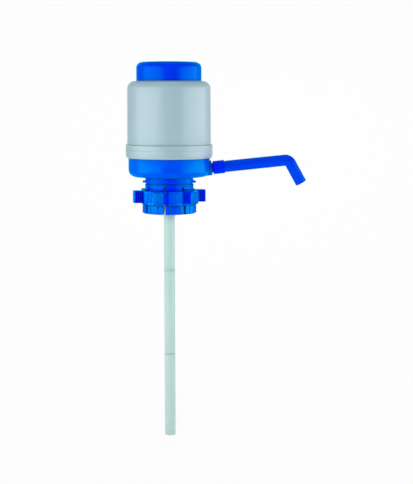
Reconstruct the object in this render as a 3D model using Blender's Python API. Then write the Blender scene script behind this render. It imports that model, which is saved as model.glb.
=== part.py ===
"""Hand press pump for a large water bottle.

Pushing the cap squeezes a bellows, whose air goes through a check valve into the bottle. The air
drives water up the dip tube, through the elbow in the base and out of the swivelling spout. A cam
ring squeezes the fingers of a collet onto the bottle's neck.

Lengths are in metres. The origin is the centre of the plane where the gasket seats on the bottle's
mouth, +Z runs up the pump's axis and the spout points towards +X.
"""

import math

import bmesh
import bpy
from mathutils import Matrix, Vector

# Fits between pieces
FIT_GAP = 0.0003
SLIDE_GAP = 0.0005
OVERRUN = 0.0020

# Outer form of the pump, from the seam above the collet upwards
SEAM_HEIGHT = 0.0027
NECK_LENGTH = 0.0093
BOWL_HEIGHT = 0.0244
HOUSING_HEIGHT = 0.0990
CAP_PROUD = 0.0245
HOUSING_RADIUS = 0.0540
SHOULDER_WIDTH = 0.0121

# Bottle that the collet and the gasket are made for
BOTTLE_NECK_RADIUS = 0.0275
NECK_CLEARANCE = 0.0008

# Housing shell
HOUSING_WALL = 0.0022
HOUSING_SHOULDER = 0.0097
HOUSING_DRAFT = 0.0005
GUIDE_WALL = 0.0018
GUIDE_DEPTH = 0.0080
GUIDE_EDGE = 0.0006
SKIRT_HEIGHT = 0.0179
SKIRT_STEP = 0.0022
SKIRT_EDGE = 0.0008
SKIRT_WALL = 0.0026
SKIRT_LIP = 0.0034
SKIRT_LIP_INSET = 0.0011

# Press cap
CAP_WALL = 0.0022
CAP_CROWN = 0.0080
CAP_FLANGE_REACH = 0.0040
CAP_FLANGE_HEIGHT = 0.0020
CAP_SKIRT_TAIL = 0.0030
CAP_RIB_WALL = 0.0016
CAP_RIB_DEPTH = 0.0066
CAP_HUB_RADIUS = 0.0080
CAP_RIB_COUNT = 6

# Bellows and its head
BELLOWS_WALL = 0.0014
BELLOWS_SIDE_GAP = 0.0018
BELLOWS_ROOT_GAP = 0.0010
BELLOWS_FOLD_DEPTH = 0.0065
BELLOWS_FOLDS = 6
BELLOWS_COLLAR = 0.0030
BELLOWS_FOOT_THICKNESS = 0.0016
HEAD_THICKNESS = 0.0022

# Silicone umbrella valves and the holes that they cover
VALVE_LIP_RADIUS = 0.0110
VALVE_LIP_EDGE = 0.0005
VALVE_LIP_THICKNESS = 0.0010
VALVE_HUB_RADIUS = 0.0035
VALVE_STEM_RADIUS = 0.0017
VALVE_BULB_RADIUS = 0.0029
VALVE_BULB_TIP = 0.0011
VALVE_BULB_HEIGHT = 0.0028
VALVE_PORT_RADIUS = 0.0016
VALVE_PORT_REACH = 0.0068
VALVE_PORT_COUNT = 6
VALVE_WINDOW_GAP = 0.0010

# Base bowl with its neck
BASE_INSET = 0.0013
BASE_WALL = 0.0022
BASE_CORNER = 0.0088
UNDERSIDE_RISE = 0.0014
FLOOR_THICKNESS = 0.0020
LEDGE_WIDTH = 0.0014
RIM_ENGAGEMENT = 0.0150
RIM_SHOULDER = 0.0012
RIM_EDGE = 0.0006
NECK_WALL = 0.0019
NECK_FILLET = 0.0010
AIR_HOLE_RADIUS = 0.0024
AIR_HOLE_COUNT = 6

# Plate over the base, and the ring and screws that clamp the bellows to it
PLATE_THICKNESS = 0.0022
PLATE_RIB_RADIUS = 0.0200
PLATE_RIB_WALL = 0.0015
PLATE_RIB_DEPTH = 0.0030
CLAMP_THICKNESS = 0.0030
CLAMP_EDGE = 0.0005
CLAMP_MARGIN = 0.0045
SCREW_COUNT = 4
SCREW_INSET = 0.0066
SCREW_RADIUS = 0.0014
SCREW_LENGTH = 0.0160
SCREW_HEAD_RADIUS = 0.0032
SCREW_HEAD_HEIGHT = 0.0022
SCREW_HEAD_EDGE = 0.0009
SCREW_RECESS_RADIUS = 0.0009
SCREW_RECESS_DEPTH = 0.0010
POST_RADIUS = 0.0034
POST_TIP_ROOM = 0.0015

# Collet that grips the bottle's neck
COLLET_WALL = 0.0030
SPIGOT_WALL = 0.0025
COLLET_FLANGE = 0.0022
SEAL_THICKNESS = 0.0014
GASKET_THICKNESS = 0.0030
GASKET_WIDTH = 0.0085
FINGER_COUNT = 8
SLOT_WIDTH = 0.0032
SLOT_TOP = 0.0010
SLOT_PHASE = math.radians(-9.0)
CAM_LIFT = 0.0008
BEAD_REACH = 0.0019
BEAD_HEIGHT = 0.0021
FLARE_REACH = 0.0037
FLARE_HEIGHT = 0.0121
FLARE_CORNER = 0.0014
MOUTH_CHAMFER = 0.0008
LUG_WIDTH = 0.0070
LUG_HEIGHT = 0.0026
LUG_REACH = 0.0031
LUG_PLACE_SHARE = 0.38

# Lock ring with its ears
RING_DROP = 0.0048
RING_HEIGHT = 0.0174
RING_WALL = 0.0034
EAR_COUNT = 6
EAR_PHASE = math.radians(15.0)
EAR_HEIGHT = 0.0156
EAR_WIDTH = 0.0172
EAR_REACH = 0.0110
GRIP_DEPTH = 0.0006
EAR_SIDE_GRIPS = 3
EAR_TIP_GRIPS = 5
BODY_GRIPS = 5
BODY_GRIP_SHARE = 0.72

# Water way through the base
ELBOW_BORE = 0.0030
ELBOW_WALL = 0.0010
RISER_BORE = 0.0027
ELBOW_SOCKET_WALL = 0.0021
ELBOW_CROWN = 0.0020
RISER_STEM_RADIUS = 0.0050
RISER_TOP_DROP = 0.0018
RISER_TOP_LAND = 0.0006
RISER_FLANGE_REACH = 0.0011
RISER_FLANGE_THICKNESS = 0.0024
RISER_SPIGOT_LENGTH = 0.0220
RISER_TIP_CHAMFER = 0.0010
O_RING_THICKNESS = 0.0012
O_RING_SQUEEZE_GAP = 0.0001

# Dip tube in three lengths on two inner couplers
TUBE_RADIUS = 0.0071
TUBE_WALL = 0.0013
TUBE_SECTION_LENGTH = 0.1092
COUPLER_WALL = 0.0012
COUPLER_INSERT = 0.0150
COUPLER_FLANGE = 0.0012
COUPLER_TIP_CHAMFER = 0.0006

# Spout with its swivelling adapter
SPOUT_INCLINE = math.radians(5.9)
BOSS_REACH = 0.0027
BOSS_RADIUS = 0.0095
BOSS_EDGE = 0.0006
BOSS_ROOT_RADIUS = 0.0101
BOSS_ROOT_DEPTH = 0.0170
BOSS_END_RADIUS = 0.0088
BOSS_INNER_LENGTH = 0.0250
SPIGOT_RADIUS = 0.0060
SPIGOT_LENGTH = 0.0160
SPIGOT_BORE = 0.0036
O_RING_PLACES_SHARE = (0.36, 0.70)
WAIST_RADIUS = 0.0064
WAIST_LENGTH = 0.0014
ADAPTER_RADIUS = 0.0086
ADAPTER_LENGTH = 0.0150
ADAPTER_EDGE = 0.0007
ADAPTER_SOCKET_DEPTH = 0.0110
SPOUT_ROOT_RADIUS = 0.0062
SPOUT_RADIUS = 0.0074
SPOUT_TIP_RADIUS = 0.0073
SPOUT_BORE = 0.0050
SPOUT_REACH = 0.0999
SPOUT_DROP = 0.0343
SPOUT_TURN = math.radians(67.0)
SPOUT_INNER_BEND = 0.0004
SPOUT_TIP_EDGE = 0.0008

# Facets round each kind of piece
SHELL_STEPS = 32
COLLET_STEPS = 32
INNER_STEPS = 20
BELLOWS_STEPS = 18
TUBE_STEPS = 16
SMALL_STEPS = 12
HOLE_STEPS = 8
FILLET_STEPS = 3
LARGEST_CHAMFER = 0.0012
BEND_STEPS = 4
O_RING_SIDES = 6
SMOOTH_ANGLE = math.radians(35.0)

# Heights that follow from the sizes above
BASE_BOTTOM = SEAM_HEIGHT + NECK_LENGTH
FLOOR_TOP = BASE_BOTTOM + FLOOR_THICKNESS
SKIRT_BOTTOM = BASE_BOTTOM + BOWL_HEIGHT
SKIRT_TOP = SKIRT_BOTTOM + SKIRT_HEIGHT
RIM_TOP = SKIRT_BOTTOM + RIM_ENGAGEMENT
HOUSING_TOP = SKIRT_BOTTOM + HOUSING_HEIGHT
GUIDE_BOTTOM = HOUSING_TOP - GUIDE_DEPTH
CAP_TOP = HOUSING_TOP + CAP_PROUD
CAP_UNDERSIDE = CAP_TOP - CAP_WALL
HEAD_TOP = CAP_UNDERSIDE - CAP_RIB_DEPTH - FIT_GAP
HEAD_BOTTOM = HEAD_TOP - HEAD_THICKNESS
BELLOWS_TOP = HEAD_BOTTOM - FIT_GAP
COLLET_FLANGE_BOTTOM = GASKET_THICKNESS + FIT_GAP
SEAL_TOP = BASE_BOTTOM - FIT_GAP
SPIGOT_TOP = SEAL_TOP - SEAL_THICKNESS - FIT_GAP
RING_TOP = -RING_DROP
RING_BOTTOM = RING_TOP - RING_HEIGHT
COLLET_BOTTOM = RING_BOTTOM - FLARE_HEIGHT

# Radii that follow from the sizes above
CAP_RADIUS = HOUSING_RADIUS - SHOULDER_WIDTH
CAP_INNER = CAP_RADIUS - CAP_WALL
SKIRT_RADIUS = HOUSING_RADIUS + SKIRT_STEP
RIM_RADIUS = SKIRT_RADIUS - SKIRT_WALL - FIT_GAP
BASE_RADIUS = HOUSING_RADIUS - BASE_INSET
BASE_INNER = BASE_RADIUS - BASE_WALL
BOWL_INNER = BASE_INNER - LEDGE_WIDTH
BELLOWS_CREST = CAP_INNER - BELLOWS_SIDE_GAP
BELLOWS_ROOT = BELLOWS_CREST - BELLOWS_FOLD_DEPTH
CAP_RIB_INNER = BELLOWS_ROOT + FIT_GAP
STEM_HOLE = VALVE_STEM_RADIUS + FIT_GAP
COLLET_BORE = BOTTLE_NECK_RADIUS + NECK_CLEARANCE
NECK_RADIUS = COLLET_BORE + COLLET_WALL
NECK_INNER = NECK_RADIUS - NECK_WALL
SPIGOT_OUTER = NECK_INNER - FIT_GAP
SPIGOT_INNER = SPIGOT_OUTER - SPIGOT_WALL
GASKET_OUTER = COLLET_BORE - FIT_GAP
GASKET_INNER = GASKET_OUTER - GASKET_WIDTH
CAM_CREST = NECK_RADIUS + CAM_LIFT
RING_BORE = CAM_CREST + FIT_GAP
RING_RADIUS = RING_BORE + CAM_LIFT + RING_WALL
SCREW_CIRCLE = BASE_INNER - SCREW_INSET
SCREW_HOLE = SCREW_RADIUS + FIT_GAP

# Water way: the elbow lies on the bowl's floor and sets the height of the spout
RISER_HOLE = RISER_STEM_RADIUS + FIT_GAP
RISER_FLANGE_TOP = COLLET_FLANGE_BOTTOM - FIT_GAP
RISER_FLANGE_BOTTOM = RISER_FLANGE_TOP - RISER_FLANGE_THICKNESS
RISER_FLANGE_RADIUS = TUBE_RADIUS + RISER_FLANGE_REACH
AIR_HOLE_CIRCLE = (RISER_FLANGE_RADIUS + GASKET_INNER) / 2
ARM_RADIUS = ELBOW_BORE + ELBOW_WALL
ELBOW_HEIGHT = FLOOR_TOP + FIT_GAP + ARM_RADIUS
SWIVEL_X = BASE_RADIUS + BOSS_REACH
SWIVEL_Z = ELBOW_HEIGHT + SWIVEL_X * math.tan(SPOUT_INCLINE)
RISER_TOP = ELBOW_HEIGHT - RISER_TOP_DROP
SOCKET_RADIUS = SPIGOT_RADIUS + FIT_GAP
TUBE_BORE = TUBE_RADIUS - TUBE_WALL
INSERT_RADIUS = TUBE_BORE - FIT_GAP

# Stack on the ledge of the base: plate, bellows foot, clamp ring, screw heads
LEDGE_HEIGHT = SWIVEL_Z + BOSS_RADIUS
PLATE_BOTTOM = LEDGE_HEIGHT + FIT_GAP
PLATE_TOP = PLATE_BOTTOM + PLATE_THICKNESS
FOOT_BOTTOM = PLATE_TOP + FIT_GAP
FOOT_TOP = FOOT_BOTTOM + BELLOWS_FOOT_THICKNESS
CLAMP_BOTTOM = FOOT_TOP + FIT_GAP
CLAMP_TOP = CLAMP_BOTTOM + CLAMP_THICKNESS
SCREW_SEAT = CLAMP_TOP + FIT_GAP
FOLDS_BOTTOM = SCREW_SEAT + SCREW_HEAD_HEIGHT + FIT_GAP
FOLDS_TOP = BELLOWS_TOP - BELLOWS_WALL - BELLOWS_COLLAR

ALONG_X = Matrix.Rotation(math.pi / 2, 4, "Y")
SWIVEL_PLACE = Matrix.Translation((SWIVEL_X, 0, SWIVEL_Z)) @ Matrix.Rotation(-SPOUT_INCLINE, 4, "Y")


def clear_scene():
    for thing in list(bpy.data.objects):
        bpy.data.objects.remove(thing, do_unlink=True)


def plastic(name, colour, roughness, metallic=0.0):
    """A Principled material; colour is linear red, green and blue."""
    made = bpy.data.materials.new(name)
    made.use_nodes = True
    shader = made.node_tree.nodes["Principled BSDF"]
    shader.inputs["Base Color"].default_value = (*colour, 1.0)
    shader.inputs["Roughness"].default_value = roughness
    shader.inputs["Metallic"].default_value = metallic
    made.diffuse_color = (*colour, 1.0)
    return made


def rounded(corners):
    """Points of an outline from (radius, height, fillet) corners; small fillets become chamfers."""
    points = []
    before = corners[-1:] + corners[:-1]
    after = corners[1:] + corners[:1]
    for last, (radius, height, fillet), following in zip(before, corners, after):
        here = Vector((radius, height))
        if fillet == 0:
            points.append(tuple(here))
            continue
        back = (Vector(last[:2]) - here).normalized()
        ahead = (Vector(following[:2]) - here).normalized()
        half = back.angle(ahead) / 2
        centre = here + (back + ahead).normalized() * fillet / math.sin(half)
        start = here + back * fillet / math.tan(half) - centre
        sweep = math.pi - 2 * half
        if back.cross(ahead) > 0:
            sweep = -sweep
        steps = FILLET_STEPS if fillet > LARGEST_CHAMFER else 1
        for step in range(steps + 1):
            turn = Matrix.Rotation(sweep * step / steps, 2)
            points.append(tuple(centre + turn @ start))
    return points


def around(count, phase=0.0):
    """The angles of count places spread evenly round the axis."""
    return [phase + 2 * math.pi * place / count for place in range(count)]


def polar(radius, angle, height=0.0):
    return Vector((radius * math.cos(angle), radius * math.sin(angle), height))


def add_turned(shape, outline, steps, place=None):
    """Spins an outline of (radius, height) about Z. It is a closed loop, or runs from axis to axis."""
    from_axis = outline[0][0] == 0 and outline[-1][0] == 0
    ring = [shape.verts.new((radius, 0, height)) for radius, height in outline]
    following = ring[1:] if from_axis else ring[1:] + ring[:1]
    edges = [shape.edges.new(pair) for pair in zip(ring, following)]
    known = set(shape.verts) - set(ring)
    bmesh.ops.spin(
        shape,
        geom=ring + edges,
        axis=(0, 0, 1),
        cent=(0, 0, 0),
        angle=2 * math.pi,
        steps=steps,
        use_merge=True,
    )
    made = [vert for vert in shape.verts if vert not in known]
    bmesh.ops.remove_doubles(shape, verts=made, dist=FIT_GAP / 1000)
    made = [vert for vert in shape.verts if vert not in known]
    if place is not None:
        bmesh.ops.transform(shape, matrix=place, verts=made)
    return made


def add_rod(shape, radius, start, end, steps, place=None):
    """A plain cylinder about Z between two heights."""
    outline = [(0, start), (radius, start), (radius, end), (0, end)]
    return add_turned(shape, outline, steps, place)


def add_block(shape, low, high, place=None):
    """A box between two corners."""
    low, high = Vector(low), Vector(high)
    size = Matrix.Diagonal(high - low).to_4x4()
    box = Matrix.Translation((low + high) / 2) @ size
    if place is not None:
        box = place @ box
    bmesh.ops.create_cube(shape, size=1, matrix=box)


def add_prism(shape, outline, bottom, top):
    """A flat outline of (x, y) points raised from bottom to top."""
    face = shape.faces.new([shape.verts.new((x, y, bottom)) for x, y in outline])
    raised = bmesh.ops.extrude_face_region(shape, geom=[face])["geom"]
    lifted = [item for item in raised if isinstance(item, bmesh.types.BMVert)]
    bmesh.ops.translate(shape, vec=(0, 0, top - bottom), verts=lifted)


def finish_mesh(name, shape):
    bmesh.ops.dissolve_degenerate(shape, dist=FIT_GAP / 1000, edges=shape.edges)
    bmesh.ops.recalc_face_normals(shape, faces=shape.faces)
    mesh = bpy.data.meshes.new(name)
    shape.to_mesh(mesh)
    shape.free()
    mesh.shade_smooth()
    mesh.set_sharp_from_angle(angle=SMOOTH_ANGLE)
    return mesh


def make_piece(name, shape, material, carrier=None):
    """A named object from a modelled shape, carried by an empty where the piece moves."""
    mesh = finish_mesh(name, shape)
    mesh.materials.append(material)
    piece = bpy.data.objects.new(name, mesh)
    bpy.context.scene.collection.objects.link(piece)
    if carrier is not None:
        piece.parent = carrier
    return piece


def make_carrier(name, place):
    """An empty on a joint's axis."""
    carrier = bpy.data.objects.new(name, None)
    bpy.context.scene.collection.objects.link(carrier)
    carrier.matrix_world = place
    bpy.context.view_layer.update()
    return carrier


def keep_in_place(piece, carrier):
    """Parents a piece that was modelled about the pump's own origin."""
    piece.parent = carrier
    piece.matrix_parent_inverse = carrier.matrix_world.inverted()


def combine(piece, tool_shape, operation, label):
    """Unites or cuts a piece with a tool shape, which stays in the file as a hidden guide."""
    mesh = finish_mesh(f"{piece.name}_{label}", tool_shape)
    tool = bpy.data.objects.new(mesh.name, mesh)
    bpy.context.scene.collection.objects.link(tool)
    tool.hide_render = True
    tool.display_type = "WIRE"
    if piece.parent is not None:
        tool.parent = piece.parent
        tool.matrix_parent_inverse = piece.matrix_parent_inverse
    step = piece.modifiers.new(label, "BOOLEAN")
    step.operation = operation
    step.object = tool
    step.solver = "EXACT"


def turned_piece(name, outline, steps, material, carrier=None):
    shape = bmesh.new()
    add_turned(shape, outline, steps)
    return make_piece(name, shape, material, carrier)


def housing(material):
    guide = CAP_RADIUS + SLIDE_GAP
    inner = HOUSING_RADIUS - HOUSING_WALL
    thread = RIM_RADIUS + FIT_GAP
    ledge = RIM_TOP + FIT_GAP
    underside = HOUSING_TOP - HOUSING_WALL
    corners = [
        (guide, HOUSING_TOP, GUIDE_EDGE),
        (HOUSING_RADIUS - HOUSING_DRAFT, HOUSING_TOP, HOUSING_SHOULDER),
        (HOUSING_RADIUS, SKIRT_TOP, 0),
        (SKIRT_RADIUS, SKIRT_TOP, SKIRT_EDGE),
        (SKIRT_RADIUS, SKIRT_BOTTOM + SKIRT_LIP, 0),
        (SKIRT_RADIUS - SKIRT_LIP_INSET, SKIRT_BOTTOM, SKIRT_EDGE),
        (thread, SKIRT_BOTTOM, 0),
        (thread, ledge, 0),
        (inner, ledge, 0),
        (inner, underside, HOUSING_SHOULDER - HOUSING_WALL),
        (guide + GUIDE_WALL, underside, 0),
        (guide + GUIDE_WALL, GUIDE_BOTTOM, 0),
        (guide, GUIDE_BOTTOM, 0),
    ]
    return turned_piece("housing", rounded(corners), SHELL_STEPS, material)


def press_cap(material, carrier):
    flange_top = GUIDE_BOTTOM - FIT_GAP
    flange_bottom = flange_top - CAP_FLANGE_HEIGHT
    tail = flange_bottom - CAP_SKIRT_TAIL
    rib_outer = CAP_RIB_INNER + CAP_RIB_WALL
    rib_bottom = BELLOWS_TOP - BELLOWS_COLLAR
    shape = bmesh.new()
    corners = [
        (0, CAP_TOP, 0),
        (CAP_RADIUS, CAP_TOP, CAP_CROWN),
        (CAP_RADIUS, flange_top, 0),
        (CAP_RADIUS + CAP_FLANGE_REACH, flange_top, 0),
        (CAP_RADIUS + CAP_FLANGE_REACH, flange_bottom, 0),
        (CAP_RADIUS, tail, 0),
        (CAP_INNER, tail, 0),
        (CAP_INNER, CAP_UNDERSIDE, CAP_CROWN - CAP_WALL),
        (rib_outer, CAP_UNDERSIDE, 0),
        (rib_outer, rib_bottom, 0),
        (CAP_RIB_INNER, rib_bottom, 0),
        (CAP_RIB_INNER, CAP_UNDERSIDE, 0),
        (0, CAP_UNDERSIDE, 0),
    ]
    add_turned(shape, rounded(corners), SHELL_STEPS)
    piece = make_piece("press_cap", shape, material)
    keep_in_place(piece, carrier)

    ribs = bmesh.new()
    half = CAP_RIB_WALL / 2
    for angle in around(CAP_RIB_COUNT):
        turn = Matrix.Rotation(angle, 4, "Z")
        low = (CAP_HUB_RADIUS, -half, HEAD_TOP + FIT_GAP)
        high = (CAP_RIB_INNER + half, half, CAP_TOP - CAP_WALL / 2)
        add_block(ribs, low, high, turn)
    combine(piece, ribs, "UNION", "ribs")
    return piece


def bellows_head(material, carrier):
    outline = [
        (STEM_HOLE, HEAD_BOTTOM),
        (BELLOWS_ROOT, HEAD_BOTTOM),
        (BELLOWS_ROOT, HEAD_TOP),
        (STEM_HOLE, HEAD_TOP),
    ]
    piece = turned_piece("bellows_head", outline, INNER_STEPS, material)
    keep_in_place(piece, carrier)
    combine(piece, valve_ports(HEAD_BOTTOM, HEAD_TOP), "DIFFERENCE", "ports")
    return piece


def valve_ports(bottom, top):
    """The ring of air holes under a valve's lip."""
    holes = bmesh.new()
    for angle in around(VALVE_PORT_COUNT, math.pi / VALVE_PORT_COUNT):
        place = Matrix.Translation(polar(VALVE_PORT_REACH, angle))
        add_rod(holes, VALVE_PORT_RADIUS, bottom - OVERRUN, top + OVERRUN, HOLE_STEPS, place)
    return holes


def umbrella_valve(name, seat, thickness, material, carrier=None):
    """A mushroom valve whose lip covers the ports from below and whose stem snaps through a plate."""
    lip_top = seat - FIT_GAP
    shoulder = seat + thickness + FIT_GAP
    tip = shoulder + VALVE_BULB_HEIGHT
    outline = [
        (0, tip),
        (VALVE_BULB_TIP, tip),
        (VALVE_BULB_RADIUS, shoulder + VALVE_BULB_HEIGHT / 4),
        (VALVE_BULB_RADIUS, shoulder),
        (VALVE_STEM_RADIUS, shoulder),
        (VALVE_STEM_RADIUS, lip_top),
        (VALVE_LIP_RADIUS, lip_top),
        (VALVE_LIP_RADIUS, lip_top - VALVE_LIP_EDGE),
        (VALVE_HUB_RADIUS, lip_top - VALVE_LIP_THICKNESS),
        (0, lip_top - VALVE_LIP_THICKNESS),
    ]
    piece = turned_piece(name, outline, SMALL_STEPS, material)
    if carrier is not None:
        keep_in_place(piece, carrier)
    return piece


def bellows(material):
    """A blown bellows: foot flange, folds and a closed top with a window for the intake valve."""
    foot = SCREW_CIRCLE + CLAMP_MARGIN
    window = VALVE_LIP_RADIUS + VALVE_WINDOW_GAP
    inner_root = BELLOWS_ROOT - BELLOWS_WALL
    inner_crest = BELLOWS_CREST - BELLOWS_WALL
    pitch = (FOLDS_TOP - FOLDS_BOTTOM) / BELLOWS_FOLDS
    outer = [(foot, FOOT_BOTTOM), (foot, FOOT_TOP), (BELLOWS_ROOT, FOOT_TOP), (BELLOWS_ROOT, FOLDS_BOTTOM)]
    inner = [(inner_root, FOOT_BOTTOM), (inner_root, FOLDS_BOTTOM)]
    for fold in range(BELLOWS_FOLDS):
        root = FOLDS_BOTTOM + pitch * (fold + 1)
        crest = root - pitch / 2
        outer += [(BELLOWS_CREST, crest), (BELLOWS_ROOT, root)]
        inner += [(inner_crest, crest), (inner_root, root)]
    ceiling = BELLOWS_TOP - BELLOWS_WALL
    outer += [(BELLOWS_ROOT, BELLOWS_TOP), (window, BELLOWS_TOP)]
    inner += [(inner_root, ceiling), (window, ceiling)]
    piece = turned_piece("bellows", outer + inner[::-1], BELLOWS_STEPS, material)
    combine(piece, screw_holes(FOOT_BOTTOM, FOOT_TOP), "DIFFERENCE", "holes")
    return piece


def screw_holes(bottom, top):
    holes = bmesh.new()
    for angle in around(SCREW_COUNT, math.pi / SCREW_COUNT):
        place = Matrix.Translation(polar(SCREW_CIRCLE, angle))
        add_rod(holes, SCREW_HOLE, bottom - OVERRUN, top + OVERRUN, HOLE_STEPS, place)
    return holes


def air_plate(material):
    rim = BASE_INNER - FIT_GAP
    rib_inner = PLATE_RIB_RADIUS - PLATE_RIB_WALL
    rib_bottom = PLATE_BOTTOM - PLATE_RIB_DEPTH
    outline = [
        (STEM_HOLE, PLATE_TOP),
        (rim, PLATE_TOP),
        (rim, PLATE_BOTTOM),
        (PLATE_RIB_RADIUS, PLATE_BOTTOM),
        (PLATE_RIB_RADIUS, rib_bottom),
        (rib_inner, rib_bottom),
        (rib_inner, PLATE_BOTTOM),
        (STEM_HOLE, PLATE_BOTTOM),
    ]
    piece = turned_piece("air_plate", outline, INNER_STEPS, material)
    combine(piece, valve_ports(PLATE_BOTTOM, PLATE_TOP), "DIFFERENCE", "ports")
    combine(piece, screw_holes(PLATE_BOTTOM, PLATE_TOP), "DIFFERENCE", "holes")
    return piece


def clamp_ring(material):
    inner = BELLOWS_ROOT + BELLOWS_ROOT_GAP
    outer = SCREW_CIRCLE + CLAMP_MARGIN
    corners = [
        (inner, CLAMP_BOTTOM, 0),
        (outer, CLAMP_BOTTOM, 0),
        (outer, CLAMP_TOP - CLAMP_EDGE, 0),
        (outer - CLAMP_EDGE, CLAMP_TOP, 0),
        (inner, CLAMP_TOP, 0),
    ]
    piece = turned_piece("clamp_ring", rounded(corners), INNER_STEPS, material)
    combine(piece, screw_holes(CLAMP_BOTTOM, CLAMP_TOP), "DIFFERENCE", "holes")
    return piece


def clamp_screws(material):
    head_top = SCREW_SEAT + SCREW_HEAD_HEIGHT
    outline = [
        (0, head_top - SCREW_RECESS_DEPTH),
        (SCREW_RECESS_RADIUS, head_top - SCREW_RECESS_DEPTH),
        (SCREW_RECESS_RADIUS, head_top),
        (SCREW_HEAD_RADIUS - SCREW_HEAD_EDGE, head_top),
        (SCREW_HEAD_RADIUS, head_top - SCREW_HEAD_EDGE),
        (SCREW_HEAD_RADIUS, SCREW_SEAT),
        (SCREW_RADIUS, SCREW_SEAT),
        (SCREW_RADIUS, SCREW_SEAT - SCREW_LENGTH + SCREW_RADIUS),
        (0, SCREW_SEAT - SCREW_LENGTH),
    ]
    pieces = []
    for number, angle in enumerate(around(SCREW_COUNT, math.pi / SCREW_COUNT), start=1):
        piece = turned_piece(f"clamp_screw_{number}", outline, HOLE_STEPS, material)
        piece.location = polar(SCREW_CIRCLE, angle)
        pieces.append(piece)
    return pieces


def base(material):
    """The blue bowl with its rim, floor and neck, the spout's boss and the posts for the screws."""
    corners = [
        (BASE_INNER, RIM_TOP, 0),
        (RIM_RADIUS, RIM_TOP, RIM_EDGE),
        (RIM_RADIUS, SKIRT_BOTTOM + RIM_SHOULDER, 0),
        (BASE_RADIUS, SKIRT_BOTTOM, 0),
        (BASE_RADIUS, BASE_BOTTOM + UNDERSIDE_RISE, BASE_CORNER),
        (NECK_RADIUS, BASE_BOTTOM, NECK_FILLET),
        (NECK_RADIUS, SEAM_HEIGHT, 0),
        (NECK_INNER, SEAM_HEIGHT, 0),
        (NECK_INNER, BASE_BOTTOM, 0),
        (RISER_HOLE, BASE_BOTTOM, 0),
        (RISER_HOLE, FLOOR_TOP, 0),
        (NECK_RADIUS, FLOOR_TOP, 0),
        (BOWL_INNER, FLOOR_TOP + UNDERSIDE_RISE, BASE_CORNER - BASE_WALL - LEDGE_WIDTH),
        (BOWL_INNER, LEDGE_HEIGHT, 0),
        (BASE_INNER, LEDGE_HEIGHT, 0),
    ]
    piece = turned_piece("base", rounded(corners), SHELL_STEPS, material)

    boss = bmesh.new()
    corners = [
        (0, -BOSS_INNER_LENGTH, 0),
        (BOSS_END_RADIUS, -BOSS_INNER_LENGTH, 0),
        (BOSS_ROOT_RADIUS, -BOSS_ROOT_DEPTH, 0),
        (BOSS_RADIUS, -BOSS_EDGE, 0),
        (BOSS_RADIUS - BOSS_EDGE, 0, 0),
        (0, 0, 0),
    ]
    add_turned(boss, rounded(corners), TUBE_STEPS, SWIVEL_PLACE @ ALONG_X)
    combine(piece, boss, "UNION", "boss")

    posts = bmesh.new()
    post_bottom = (BASE_BOTTOM + FLOOR_TOP) / 2 + UNDERSIDE_RISE
    for angle in around(SCREW_COUNT, math.pi / SCREW_COUNT):
        place = Matrix.Translation(polar(SCREW_CIRCLE, angle))
        add_rod(posts, POST_RADIUS, post_bottom, LEDGE_HEIGHT, SMALL_STEPS, place)
    combine(piece, posts, "UNION", "posts")
    combine(piece, base_openings(), "DIFFERENCE", "openings")
    return piece


def base_openings():
    """Stepped spout socket, screw pilot holes, air holes in the floor and the collet's snap windows."""
    openings = bmesh.new()
    arm_hole = ARM_RADIUS + FIT_GAP
    shoulder = -SPIGOT_LENGTH - FIT_GAP
    socket = [
        (0, -BOSS_INNER_LENGTH - OVERRUN),
        (arm_hole, -BOSS_INNER_LENGTH - OVERRUN),
        (arm_hole, shoulder),
        (SOCKET_RADIUS, shoulder),
        (SOCKET_RADIUS, OVERRUN),
        (0, OVERRUN),
    ]
    add_turned(openings, socket, TUBE_STEPS, SWIVEL_PLACE @ ALONG_X)
    pilot_bottom = SCREW_SEAT - SCREW_LENGTH - POST_TIP_ROOM
    for angle in around(SCREW_COUNT, math.pi / SCREW_COUNT):
        place = Matrix.Translation(polar(SCREW_CIRCLE, angle))
        add_rod(openings, SCREW_HOLE, pilot_bottom, LEDGE_HEIGHT + OVERRUN, HOLE_STEPS, place)
    add_air_holes(openings, BASE_BOTTOM, FLOOR_TOP)
    add_lugs(openings, FIT_GAP, NECK_INNER - OVERRUN, NECK_RADIUS + OVERRUN)
    return openings


def add_air_holes(shape, bottom, top):
    for angle in around(AIR_HOLE_COUNT, math.pi / AIR_HOLE_COUNT):
        place = Matrix.Translation(polar(AIR_HOLE_CIRCLE, angle))
        add_rod(shape, AIR_HOLE_RADIUS, bottom - OVERRUN, top + OVERRUN, HOLE_STEPS, place)


def add_lugs(shape, margin, inner, outer):
    """The two snap lugs of the collet's spigot, or with a margin the windows that they spring into."""
    middle = SEAM_HEIGHT + LUG_PLACE_SHARE * NECK_LENGTH
    half_height = LUG_HEIGHT / 2 + margin
    half_width = LUG_WIDTH / 2 + margin
    for angle in around(2):
        low = (inner, -half_width, middle - half_height)
        high = (outer, half_width, middle + half_height)
        add_block(shape, low, high, Matrix.Rotation(angle, 4, "Z"))


def cam_lift(angle):
    """How far a cam ramp stands out at an angle: it falls away over each finger from slot to slot."""
    pitch = 2 * math.pi / FINGER_COUNT
    step = 2 * math.pi / COLLET_STEPS
    along = ((angle - SLOT_PHASE + step / 2) % pitch - step / 2) / pitch
    return CAM_LIFT * (1 - max(along, 0))


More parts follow.
